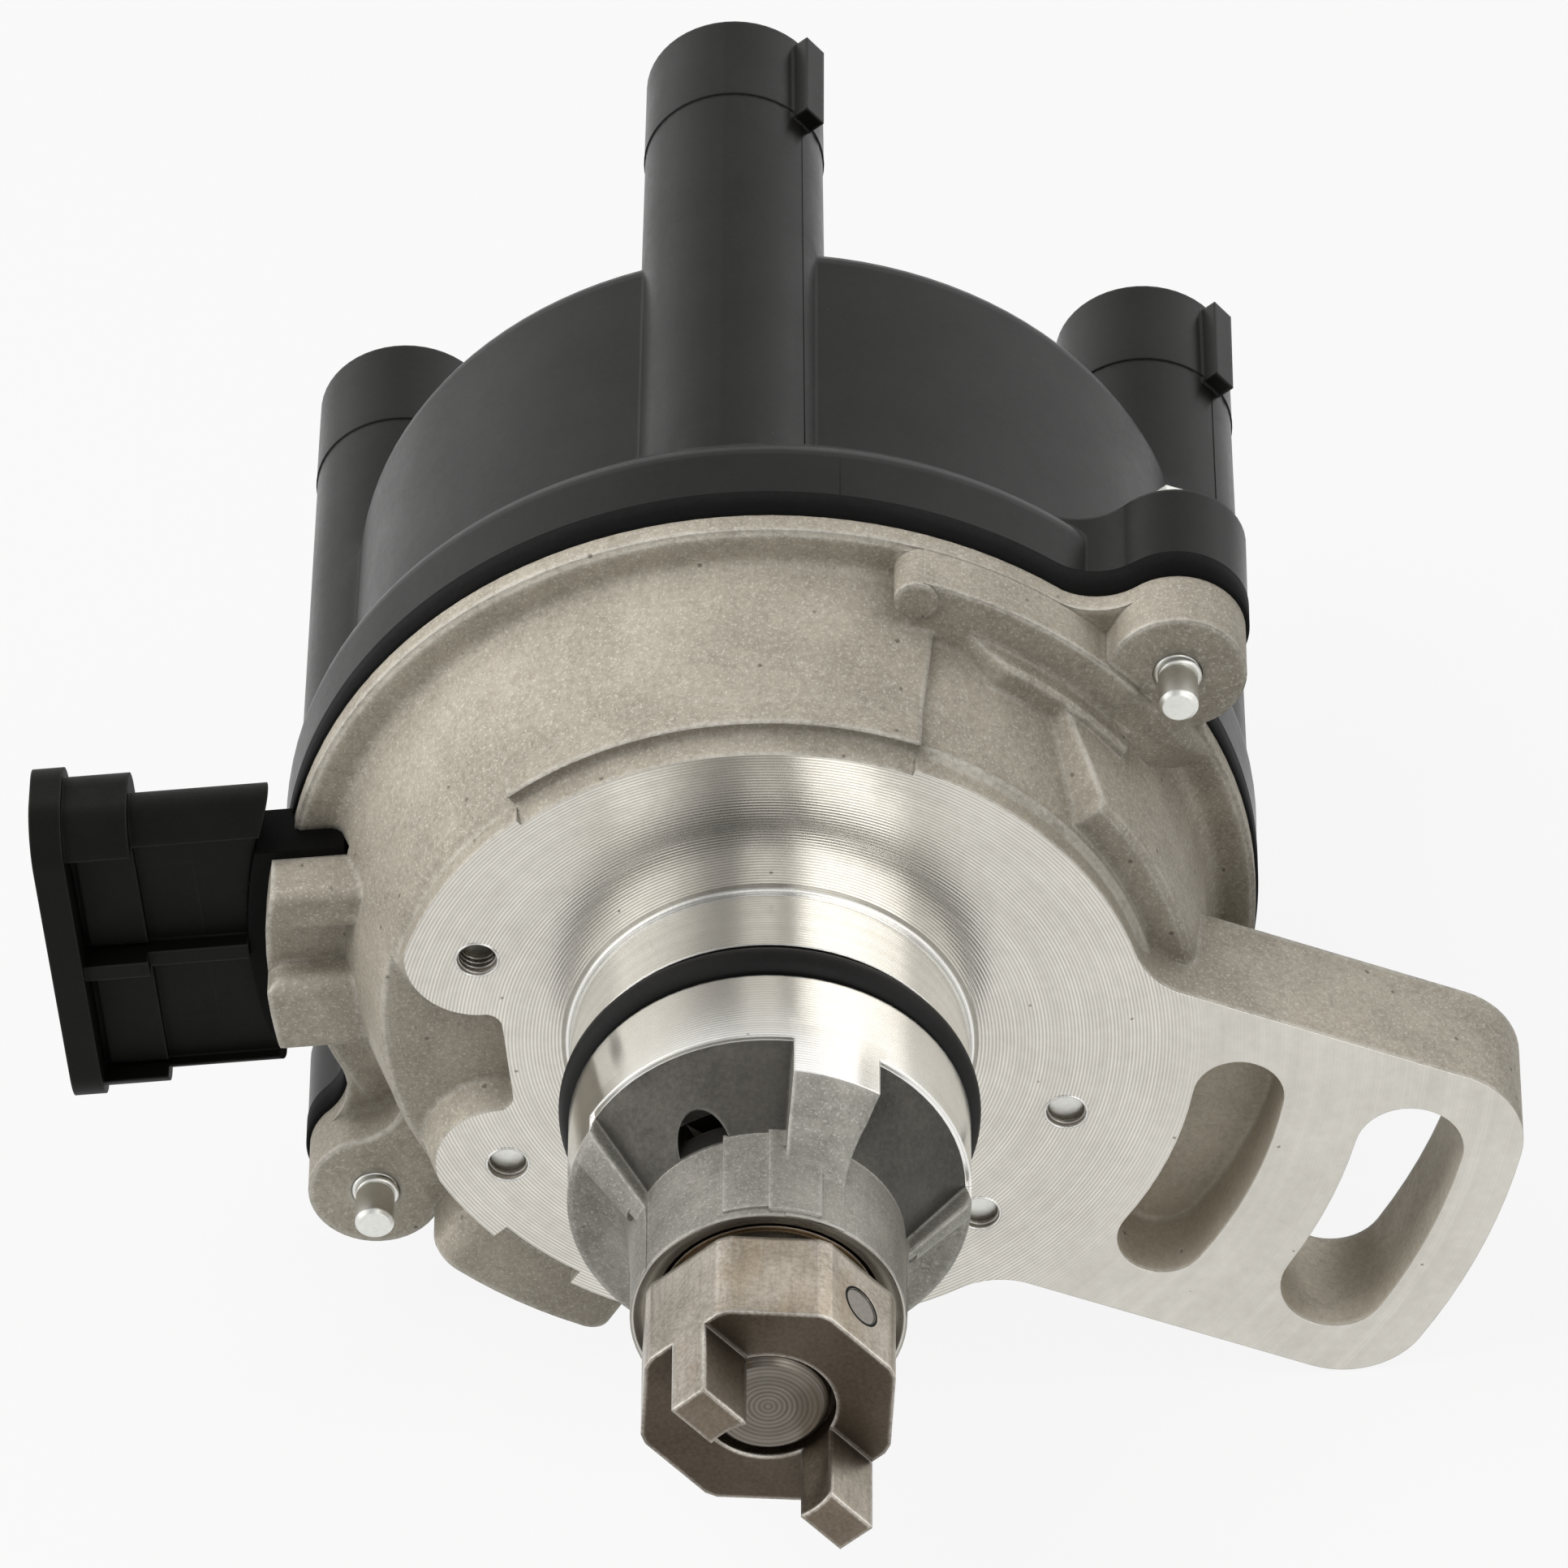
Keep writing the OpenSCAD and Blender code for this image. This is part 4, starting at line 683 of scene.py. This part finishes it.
def housingPlace(x, y, z, facing):
    s = housingSettings
    radius, angle = math.hypot(x, y), math.degrees(math.atan2(y, x))
    if abs(z) < s["flat"] and facing > s["square"]:
        return "turnedFace"
    # painted light: the slots take the lighter copy
    if inSlot(radius, angle, z):
        return "slotLitCasting"
    if z < s["flat"] or radius < s["boreRadius"] or radius > s["neckRadius"]:
        return "castSkin"
    if z > s["mouthZ"] and radius < s["mouthRadius"] and facing > s["mouthFacing"]:
        return "turnedMouth"
    if radius > s["pilotRadius"] and abs(facing) < s["pilotFacing"] or z < s["pilotEnd"]:
        return "turnedPilot"
    if abs(z - s["rimZ"]) < s["rimFlat"] and facing > s["rimFacing"]:
        return "turnedPilot"
    # painted shade: the inlet and the window floors take the dark copies
    if inInlet(x, y, z, facing):
        return "inletShadeCasting"
    return "windowShadeCasting" if onWindowFloor(radius, angle, z, facing) else "hubCasting"


# The coupling's faces that look along the shaft get a dark copy of its finish, painted shade, and its
# tongues' ends a less dark copy
couplingSettings = {"facing": 0.9, "tongueZ": 60}
shaftSettings = {"facing": 0.5, "frontZ": 50}


def couplingPlace(x, y, z, facing):
    if facing < couplingSettings["facing"]:
        return "sinteredSteel"
    return "sinteredShadedEnd" if z > couplingSettings["tongueZ"] else "sinteredShadedFront"


def shaftPlace(x, y, z, facing):
    return "shaftEnd" if facing > shaftSettings["facing"] and z > shaftSettings["frontZ"] else "groundSteel"


for node, finish in dressing.items():
    dress(node, [finish])
dress("housing", [*castings, "turnedFace", "turnedPilot", "turnedMouth"], housingPlace)
dress("drive_coupling", ["sinteredSteel", "sinteredShadedFront", "sinteredShadedEnd"], couplingPlace)
dress("shaft", ["groundSteel", "shaftEnd"], shaftPlace)
print("CAD nodes dressed")


# The body that the small pieces ride on, and the name of a material slot
onHousing = ("base", "cast_aluminium")
onCap = ("base", "cap_plastic")
onGasket = ("base", "gasket_rubber")
onScrews = ("base", "zinc_steel")
onBrush = ("base", "spring_steel")
onCoupling = ("rotating_group", "sintered_steel")


def addPiece(name, points, faces, finish, body, slot):
    data = bpy.data.meshes.new(name)
    data.from_pydata(points, [], faces)
    mesh = bmesh.new()
    mesh.from_mesh(data)
    bmesh.ops.recalc_face_normals(mesh, faces=mesh.faces)
    mesh.to_mesh(data)
    mesh.free()
    data.materials.append(finishes[finish])
    for face in data.polygons:
        face.use_smooth = True
    piece = bpy.data.objects.new(name, data)
    scene.collection.objects.link(piece)
    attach(piece, body)
    return piece


# Small pieces are swept: a closed outline in mm, carried along stations of (origin, outward, across).
# Where fade is given, what stands outward rises and falls over that many stations at the ends
def sweepPiece(name, stations, outline, finish, body, slot, closed=False, fade=0):
    count, size = len(stations), len(outline)
    points = []
    for i, (origin, outward, across) in enumerate(stations):
        share = 1.0 if closed or not fade else min(1.0, i / fade, (count - 1 - i) / fade)
        for out, side in outline:
            points.append((origin + outward * (out * share if out > 0 else out) + across * side) * mm)
    faces = []
    for i in range(count if closed else count - 1):
        a, b = i * size, (i + 1) % count * size
        for k in range(size):
            n = (k + 1) % size
            faces.append((a + k, a + n, b + n, b + k))
    if not closed:
        faces += [tuple(range(size)), tuple(reversed(range((count - 1) * size, count * size)))]
    return addPiece(name, points, faces, finish, body, slot)


# Stations of a ring about any axis
def ringStations(centre, axis, radius, steps):
    first = axis.orthogonal().normalized()
    second = axis.cross(first)
    stations = []
    for i in range(steps):
        t = 2 * math.pi * i / steps
        outward = first * math.cos(t) + second * math.sin(t)
        stations.append((centre + outward * radius, outward, axis))
    return stations


# Stations of a thread or coil along the shaft's direction, from low to high;
# side is -1 where it faces inward
threadSteps = {"turn": 28, "least": 8}


def threadStations(centre, radius, low, high, pitch, side):
    count = max(threadSteps["least"], round((high - low) / pitch * threadSteps["turn"]))
    stations = []
    for i in range(count + 1):
        t = 2 * math.pi * (high - low) / pitch * i / count
        outward = fromShaft(math.cos(t), math.sin(t), 0)
        origin = centre + outward * radius + shaftAxis * (low + (high - low) * i / count)
        stations.append((origin, outward * side, shaftAxis))
    return stations


# Threads and burrs of the face's holes, and threads on the points of the cap screws
holeSettings = {
    "ring": 31.1, "lowest": {153.8: -3.0, 205.8: -1.3, -23.2: -1.1, -53.2: -1.1},      # by angle
    "radius": 2.0, "pitch": 0.7, "depth": 0.3, "root": -0.08, "flank": 0.42, "mouth": -0.25, "fade": 8,
    "burrGap": 0.02, "burrSteps": 40,
    "burr": [(-0.02, -0.12), (-0.02, 0.02), (0.06, 0.05), (0.26, 0.012), (0.26, -0.05)],
}
pointSettings = {
    "ring": 53.1, "angle": 34.4, "radius": 2.0, "low": -17.5, "high": -15.5,
    "pitch": 0.8, "depth": 0.46, "root": -0.1, "flank": 0.46, "crest": 0.05, "fade": 10,
}


def makeHoleThreads(s):
    half = s["pitch"] * s["flank"]
    ridge = [(s["root"], -half), (s["depth"], 0), (s["root"], half)]
    for i, (angle, low) in enumerate(s["lowest"].items()):
        centre = around(s["ring"], angle)
        turns = threadStations(centre, s["radius"], low, s["mouth"], s["pitch"], -1)
        sweepPiece(f"faceThread{i + 1}", turns, ridge, "groundSteel", *onHousing, fade=s["fade"])
        ring = ringStations(centre, shaftAxis, s["radius"] + s["burrGap"], s["burrSteps"])
        sweepPiece(f"faceHoleBurr{i + 1}", ring, s["burr"], "turnedPilot", *onHousing, closed=True)


def makePointThreads(s):
    half, crest = s["pitch"] * s["flank"], s["crest"]
    ridge = [(s["root"], -half), (s["depth"], -crest), (s["depth"], crest), (s["root"], half)]
    for i in (0, 1):
        centre = around(s["ring"], s["angle"] + 180 * i)
        turns = threadStations(centre, s["radius"], s["low"], s["high"], s["pitch"], 1)
        sweepPiece(f"capScrewThread{i + 1}", turns, ridge, "zincPlate", *onScrews, fade=s["fade"])


# Mould lines of the cap: a step line round each tower, a line down from its key rib,
# and one across the flange
seamSettings = {
    "towerRing": 38.9, "towers": (0, 90, 180, 270), "stepZ": -93.4, "stepRadius": 9.15, "stepSteps": 64,
    "taper": 0.011, "keyAngle": 34.4, "keyEnd": -92.3, "cupTop": -75.1, "cupRadius": 42.9, "cupMargin": 0.5,
    "flangeTop": -36.6, "flangeFoot": -25.8, "flangeRadius": 49.2, "flangeRound": 3.9, "flangeAngle": 76,
    "proud": 0.06, "steps": 8,
    "line": [(-0.1, -0.07), (0.05, 0), (-0.1, 0.07)],
    "step": [(-0.15, -0.07), (0.13, 0), (-0.15, 0.07)], "stepGap": 0.02,
}


def makeTowerLines(s):
    centres = [around(s["towerRing"], angle) for angle in s["towers"]] + [Vector((0, 0, 0))]
    keyOut = around(1, s["keyAngle"])
    keySide = keyOut.cross(shaftAxis)
    for i, centre in enumerate(centres):
        place = centre + shaftAxis * s["stepZ"]
        ring = ringStations(place, shaftAxis, s["stepRadius"] + s["stepGap"], s["stepSteps"])
        sweepPiece(f"towerStepLine{i + 1}", ring, s["step"], "seamPlastic", *onCap, closed=True)
        outer = (centre + keyOut * s["stepRadius"]).length > s["cupRadius"] + s["cupMargin"]
        end = s["flangeTop"] if outer else s["cupTop"]
        line = []
        for k in range(s["steps"] + 1):
            z = s["keyEnd"] + (end - s["keyEnd"]) * k / s["steps"]
            radius = s["stepRadius"] + s["taper"] * (z - s["stepZ"])
            line.append((centre + keyOut * radius + shaftAxis * z, keyOut, keySide))
        sweepPiece(f"towerLine{i + 1}", line, s["line"], "seamPlastic", *onCap)


def makeFlangeLine(s):
    out = around(1, s["flangeAngle"])
    side = out.cross(shaftAxis)
    bend = s["flangeRound"]
    middle = out * (s["flangeRadius"] + s["proud"] - bend) + shaftAxis * (s["flangeTop"] + bend)
    line = [(out * s["flangeRadius"] + shaftAxis * s["flangeFoot"], out, side)]
    for k in range(s["steps"] + 1):
        t = math.radians(90 * k / s["steps"])
        outward = out * math.cos(t) - shaftAxis * math.sin(t)
        line.append((middle + outward * bend, outward, side))
    sweepPiece("flangeLine", line, s["line"], "seamPlastic", *onCap)


# Outline in mm of a disc with two round ears, as (x, y, outward x, outward y), with concave fillets between
outlineSteps = {"fillet": 14, "ear": 40, "disc": 110}


def earedOutline(disc, ear, ring, fillet, angle):
    points = []
    reach, near = disc + fillet, ear + fillet
    x = (reach * reach - near * near + ring * ring) / (2 * ring)
    y = math.sqrt(reach * reach - x * x)
    meet = math.atan2(y, x)
    tip = math.atan2(y, x - ring)

    # A negative radius is a hollow arc
    def addArc(cx, cy, radius, low, high, steps, turned):
        c, d = math.cos(turned), math.sin(turned)
        out = -1 if radius < 0 else 1
        for k in range(steps):
            t = low + (high - low) * k / steps
            px, py = cx + abs(radius) * math.cos(t), cy + abs(radius) * math.sin(t)
            nx, ny = out * math.cos(t), out * math.sin(t)
            points.append((px * c - py * d, px * d + py * c, nx * c - ny * d, nx * d + ny * c))

    for half in (0, 1):
        turned = math.radians(angle + 180 * half)
        addArc(x, -y, -fillet, math.pi - meet, math.pi - tip, outlineSteps["fillet"], turned)
        addArc(ring, 0, ear, -tip, tip, outlineSteps["ear"], turned)
        addArc(x, y, -fillet, math.pi + tip, math.pi + meet, outlineSteps["fillet"], turned)
        addArc(0, 0, disc, meet, math.pi - meet, outlineSteps["disc"], turned)
    return points


# The gasket's outer lip, a black band which laps the foot of the cap's flange and the casting's rim: partly
# the real gasket, partly painted shadow under the flange
lipSettings = {
    "disc": 49.24, "ear": 7.24, "ring": 53.1, "fillet": 6.9, "angle": 34.4,
    "low": -26.9, "high": -23.2, "inner": -1.2, "proud": 0.06, "round": 0.25,
}


def makeGasketShadowLip(s):
    edge = earedOutline(s["disc"], s["ear"], s["ring"], s["fillet"], s["angle"])
    stations = [(fromShaft(x, y, 0), fromShaft(nx, ny, 0), shaftAxis) for x, y, nx, ny in edge]
    low, high, out, bend = s["low"], s["high"], s["proud"], s["round"]
    outline = [
        (s["inner"], high), (out - bend, high), (out, high - bend),
        (out, low + bend), (out - bend, low), (s["inner"], low),
    ]
    sweepPiece("gasketShadowLip", stations, outline, "gasketRubber", *onGasket, closed=True)


# Casting between the raised rim and the ear of the cap screw, which falls away below the ear
webSettings = {
    "inner": 41.2, "outer": 48.7,                    # radii, mm
    "from": 36.2, "to": 15.5, "fallFrom": 27.0,      # angles
    "top": -15.72, "earFront": -16.32, "foot": -24.2, "end": -21.5,
    "step": 1.6, "lead": 5, "rows": 22, "columns": 9,
}


def makeEarWeb(s):
    rows, columns = s["rows"], s["columns"]
    grid, feet = [], []
    for i in range(rows + 1):
        angle = s["from"] + (s["to"] - s["from"]) * i / rows
        fall = max(0.0, (s["fallFrom"] - angle) / (s["fallFrom"] - s["to"]))
        fall = fall * fall * (3 - 2 * fall)
        for k in range(columns + 1):
            across = k / columns
            lower = min(1.0, across * s["step"]) * min(1.0, (s["from"] - angle) / s["lead"])
            high = s["top"] + (s["earFront"] - s["top"]) * lower
            radius = s["inner"] + (s["outer"] - s["inner"]) * across
            grid.append(around(radius, angle, high + (s["end"] - high) * fall) * mm)
            feet.append(around(radius, angle, s["foot"]) * mm)
    width, count = columns + 1, len(grid)
    faces = []
    for i in range(rows):
        for k in range(columns):
            a = i * width + k
            faces.append((a, a + 1, a + 1 + width, a + width))
            faces.append((a + count, a + width + count, a + 1 + width + count, a + 1 + count))
    border = list(range(width)) + [i * width + columns for i in range(1, rows + 1)]
    border += [rows * width + k for k in range(columns - 1, -1, -1)]
    border += [i * width for i in range(rows - 1, 0, -1)]
    for a, b in zip(border, border[1:] + border[:1]):
        faces.append((a, b, b + count, a + count))
    addPiece("earWeb", grid + feet, faces, "castSkin", *onHousing)


# The dark ring round the pin on both sides of the coupling
pinSettings = {
    "angle": 36, "z": 48.5, "reach": 12.2, "radius": 2.03,
    "width": 0.28, "proud": 0.012, "foot": -0.1, "steps": 40,
}


def makePinRings(s):
    outline = [(0, s["foot"]), (0, s["proud"]), (s["width"], s["proud"]), (s["width"], s["foot"])]
    for i, turn in enumerate((0, 180)):
        axis = around(1, s["angle"] + turn)
        ring = ringStations(axis * s["reach"] + shaftAxis * s["z"], axis, s["radius"], s["steps"])
        sweepPiece(f"pinRing{i + 1}", ring, outline, "seamPlastic", *onCoupling, closed=True)


# The fine radius that the turning tool leaves at the pilot's foot
pilotSettings = {"radius": 20.0, "fillet": 0.85, "sunk": -0.1, "gap": 0.01, "steps": 180, "curve": 6}


def makePilotFillet(s):
    r, sunk = s["fillet"], s["sunk"]
    turns = [math.pi / 2 * k / s["curve"] for k in range(s["curve"], -1, -1)]
    curve = [(r * (1 - math.sin(t)), r * (1 - math.cos(t))) for t in turns]
    ring = ringStations(Vector((0, 0, 0)), shaftAxis, s["radius"] - s["gap"], s["steps"])
    outline = [(sunk, sunk), (r, sunk)] + curve + [(sunk, r)]
    sweepPiece("pilotFillet", ring, outline, "turnedPilot", *onHousing, closed=True)


# The brush's coil spring, swept at one fixed length; the real one shortens as the brush slides in
coilSettings = {
    "radius": 2.3, "wire": 0.3, "turns": 6, "sides": 10, "endGap": 1.2,      # the gap in wire radii
    "brushEnd": -66.65, "capEnd": -73.65, "travel": 1.5,
}


def makeBrushCoil(s):
    low, high = s["capEnd"] + s["endGap"] * s["wire"], s["brushEnd"] - s["endGap"] * s["wire"]
    turns = threadStations(Vector((0, 0, 0)), s["radius"], low, high, (high - low) / s["turns"], 1)
    angles = [2 * math.pi * k / s["sides"] for k in range(s["sides"])]
    outline = [(s["wire"] * math.cos(t), s["wire"] * math.sin(t)) for t in angles]
    coil = sweepPiece("brushCoil", turns, outline, "laminatedSteel", *onBrush)
    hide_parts("brush_spring")
    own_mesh(coil)


makeHoleThreads(holeSettings)
makePointThreads(pointSettings)
makeTowerLines(seamSettings)
makeFlangeLine(seamSettings)
makePinRings(pinSettings)
makeGasketShadowLip(lipSettings)
makeEarWeb(webSettings)
makePilotFillet(pilotSettings)
makeBrushCoil(coilSettings)
print("small pieces made")


# The floor, which the camera sees nearly white and which keeps the part's shadow
floorSettings = {"size": 6.0, "gap": 0.0002, "colour": (0.42, 0.42, 0.41, 1), "rough": 0.9, "white": 0.9}


def makeFloor(s):
    half = s["size"] / 2
    level = cadBox[0][2] - s["gap"]
    corners = [(-half, -half, level), (half, -half, level), (half, half, level), (-half, half, level)]
    data = bpy.data.meshes.new("floor")
    data.from_pydata(corners, [], [(0, 1, 2, 3)])
    floor = bpy.data.objects.new("floor", data)
    scene.collection.objects.link(floor)
    material, tree, shader = newMaterial("paleFloor")
    shader.inputs["Base Color"].default_value = s["colour"]
    shader.inputs["Roughness"].default_value = s["rough"]
    path = put(tree, "ShaderNodeLightPath").outputs
    seen = calculate(tree, "ADD", path["Is Camera Ray"], path["Is Glossy Ray"])
    seen = calculate(tree, "ADD", seen, path["Is Transmission Ray"], clamp=True)
    white = put(tree, "ShaderNodeEmission", {"Color": (1, 1, 1, 1), "Strength": 1.0}).outputs[0]
    share = calculate(tree, "MULTIPLY", seen, s["white"])
    mixed = put(tree, "ShaderNodeMixShader", {0: share, 1: shader.outputs[0], 2: white})
    tree.links.new(mixed.outputs[0], tree.nodes["Material Output"].inputs["Surface"])
    data.materials.append(material)


worldSettings = {
    "fillLow": 0.06,                   # the world on rough surfaces, low down
    "fillHigh": 0.55,                  # and straight above
    "fillRange": (-0.1, 0.95),         # heights between which it changes
    "ceiling": 0.42,                   # the world straight above, as metal sees it
    "ceilingRange": (0.6, 0.92),
    # the world round the part, as metal sees it: degrees from the front, to the right, and how bright it is
    "walls": {
        -180: 0.4, -120: 0.58, -90: 0.62, -60: 0.64, -42: 0.58, -30: 0.24, -18: 0.14, -10: 0.16, -6: 0.4,
        9: 0.42, 13: 0.14, 17: 0.14, 20: 1.0, 42: 1.0, 47: 0.38, 62: 0.4, 75: 0.6, 120: 0.6, 180: 0.42,
    },
    "wallStrength": 2.5,
}


def makeWalls(tree, aside, s):
    walls = put(tree, "ShaderNodeValToRGB", {0: fitRange(tree, aside, -math.pi, math.pi)})
    stops = walls.color_ramp.elements
    while len(stops) < len(s["walls"]):
        stops.new(0.5)
    for stop, (angle, tone) in zip(stops, s["walls"].items()):
        stop.position = 0.5 + angle / 360
        stop.color = (tone, tone, tone, 1)
    return mixColours(tree, 1.0, walls.outputs[0], (s["wallStrength"],) * 3 + (1,), "MULTIPLY")


def makeWorld(s):
    world = bpy.data.worlds.new("studio")
    world.use_nodes = True
    scene.world = world
    tree = world.node_tree
    tree.nodes.clear()
    out = put(tree, "ShaderNodeOutputWorld")
    direction = put(tree, "ShaderNodeTexCoord").outputs["Generated"]
    parts = put(tree, "ShaderNodeSeparateXYZ", {0: direction}).outputs
    aside = calculate(tree, "ARCTAN2", parts[0], calculate(tree, "MULTIPLY", parts[1], -1.0))
    ceiling = (s["ceiling"],) * 3 + (1,)
    overhead = fitRange(tree, parts[2], *s["ceilingRange"])
    metalSees = mixColours(tree, overhead, makeWalls(tree, aside, s), ceiling)
    fill = fitRange(tree, parts[2], *s["fillRange"], s["fillLow"], s["fillHigh"])
    path = put(tree, "ShaderNodeLightPath").outputs
    mirrored = calculate(tree, "ADD", path["Is Glossy Ray"], path["Is Transmission Ray"], clamp=True)
    light = mixColours(tree, mirrored, fill, metalSees)
    light = mixColours(tree, path["Is Camera Ray"], light, (1, 1, 1, 1))
    back = put(tree, "ShaderNodeBackground", {"Color": light, "Strength": 1.0})
    tree.links.new(back.outputs[0], out.inputs["Surface"])


# Soft lamps: where they stand and their sizes in metres, and their power in watts
lampSettings = {
    "keyLamp": {"at": (-0.3, 0.0, 0.8), "size": (0.7, 0.5), "power": 6.0},
    "rightLamp": {"at": (0.75, -0.1, 0.35), "size": (0.25, 0.7), "power": 1.0},
    "leftLamp": {"at": (-0.75, -0.1, 0.3), "size": (0.25, 0.7), "power": 2.5},
}
lampAim = Vector((0, 0.01, 0))


def makeLamps(settings):
    for name, s in settings.items():
        data = bpy.data.lights.new(name, "AREA")
        data.shape = "RECTANGLE"
        data.size, data.size_y = s["size"]
        data.energy = s["power"]
        lamp = bpy.data.objects.new(name, data)
        lamp.location = s["at"]
        lamp.rotation_euler = (lampAim - lamp.location).to_track_quat("-Z", "Y").to_euler()
        lamp.visible_glossy = False
        scene.collection.objects.link(lamp)


makeFloor(floorSettings)
makeWorld(worldSettings)
makeLamps(lampSettings)
scene.view_settings.view_transform = "Standard"
print("studio lit")
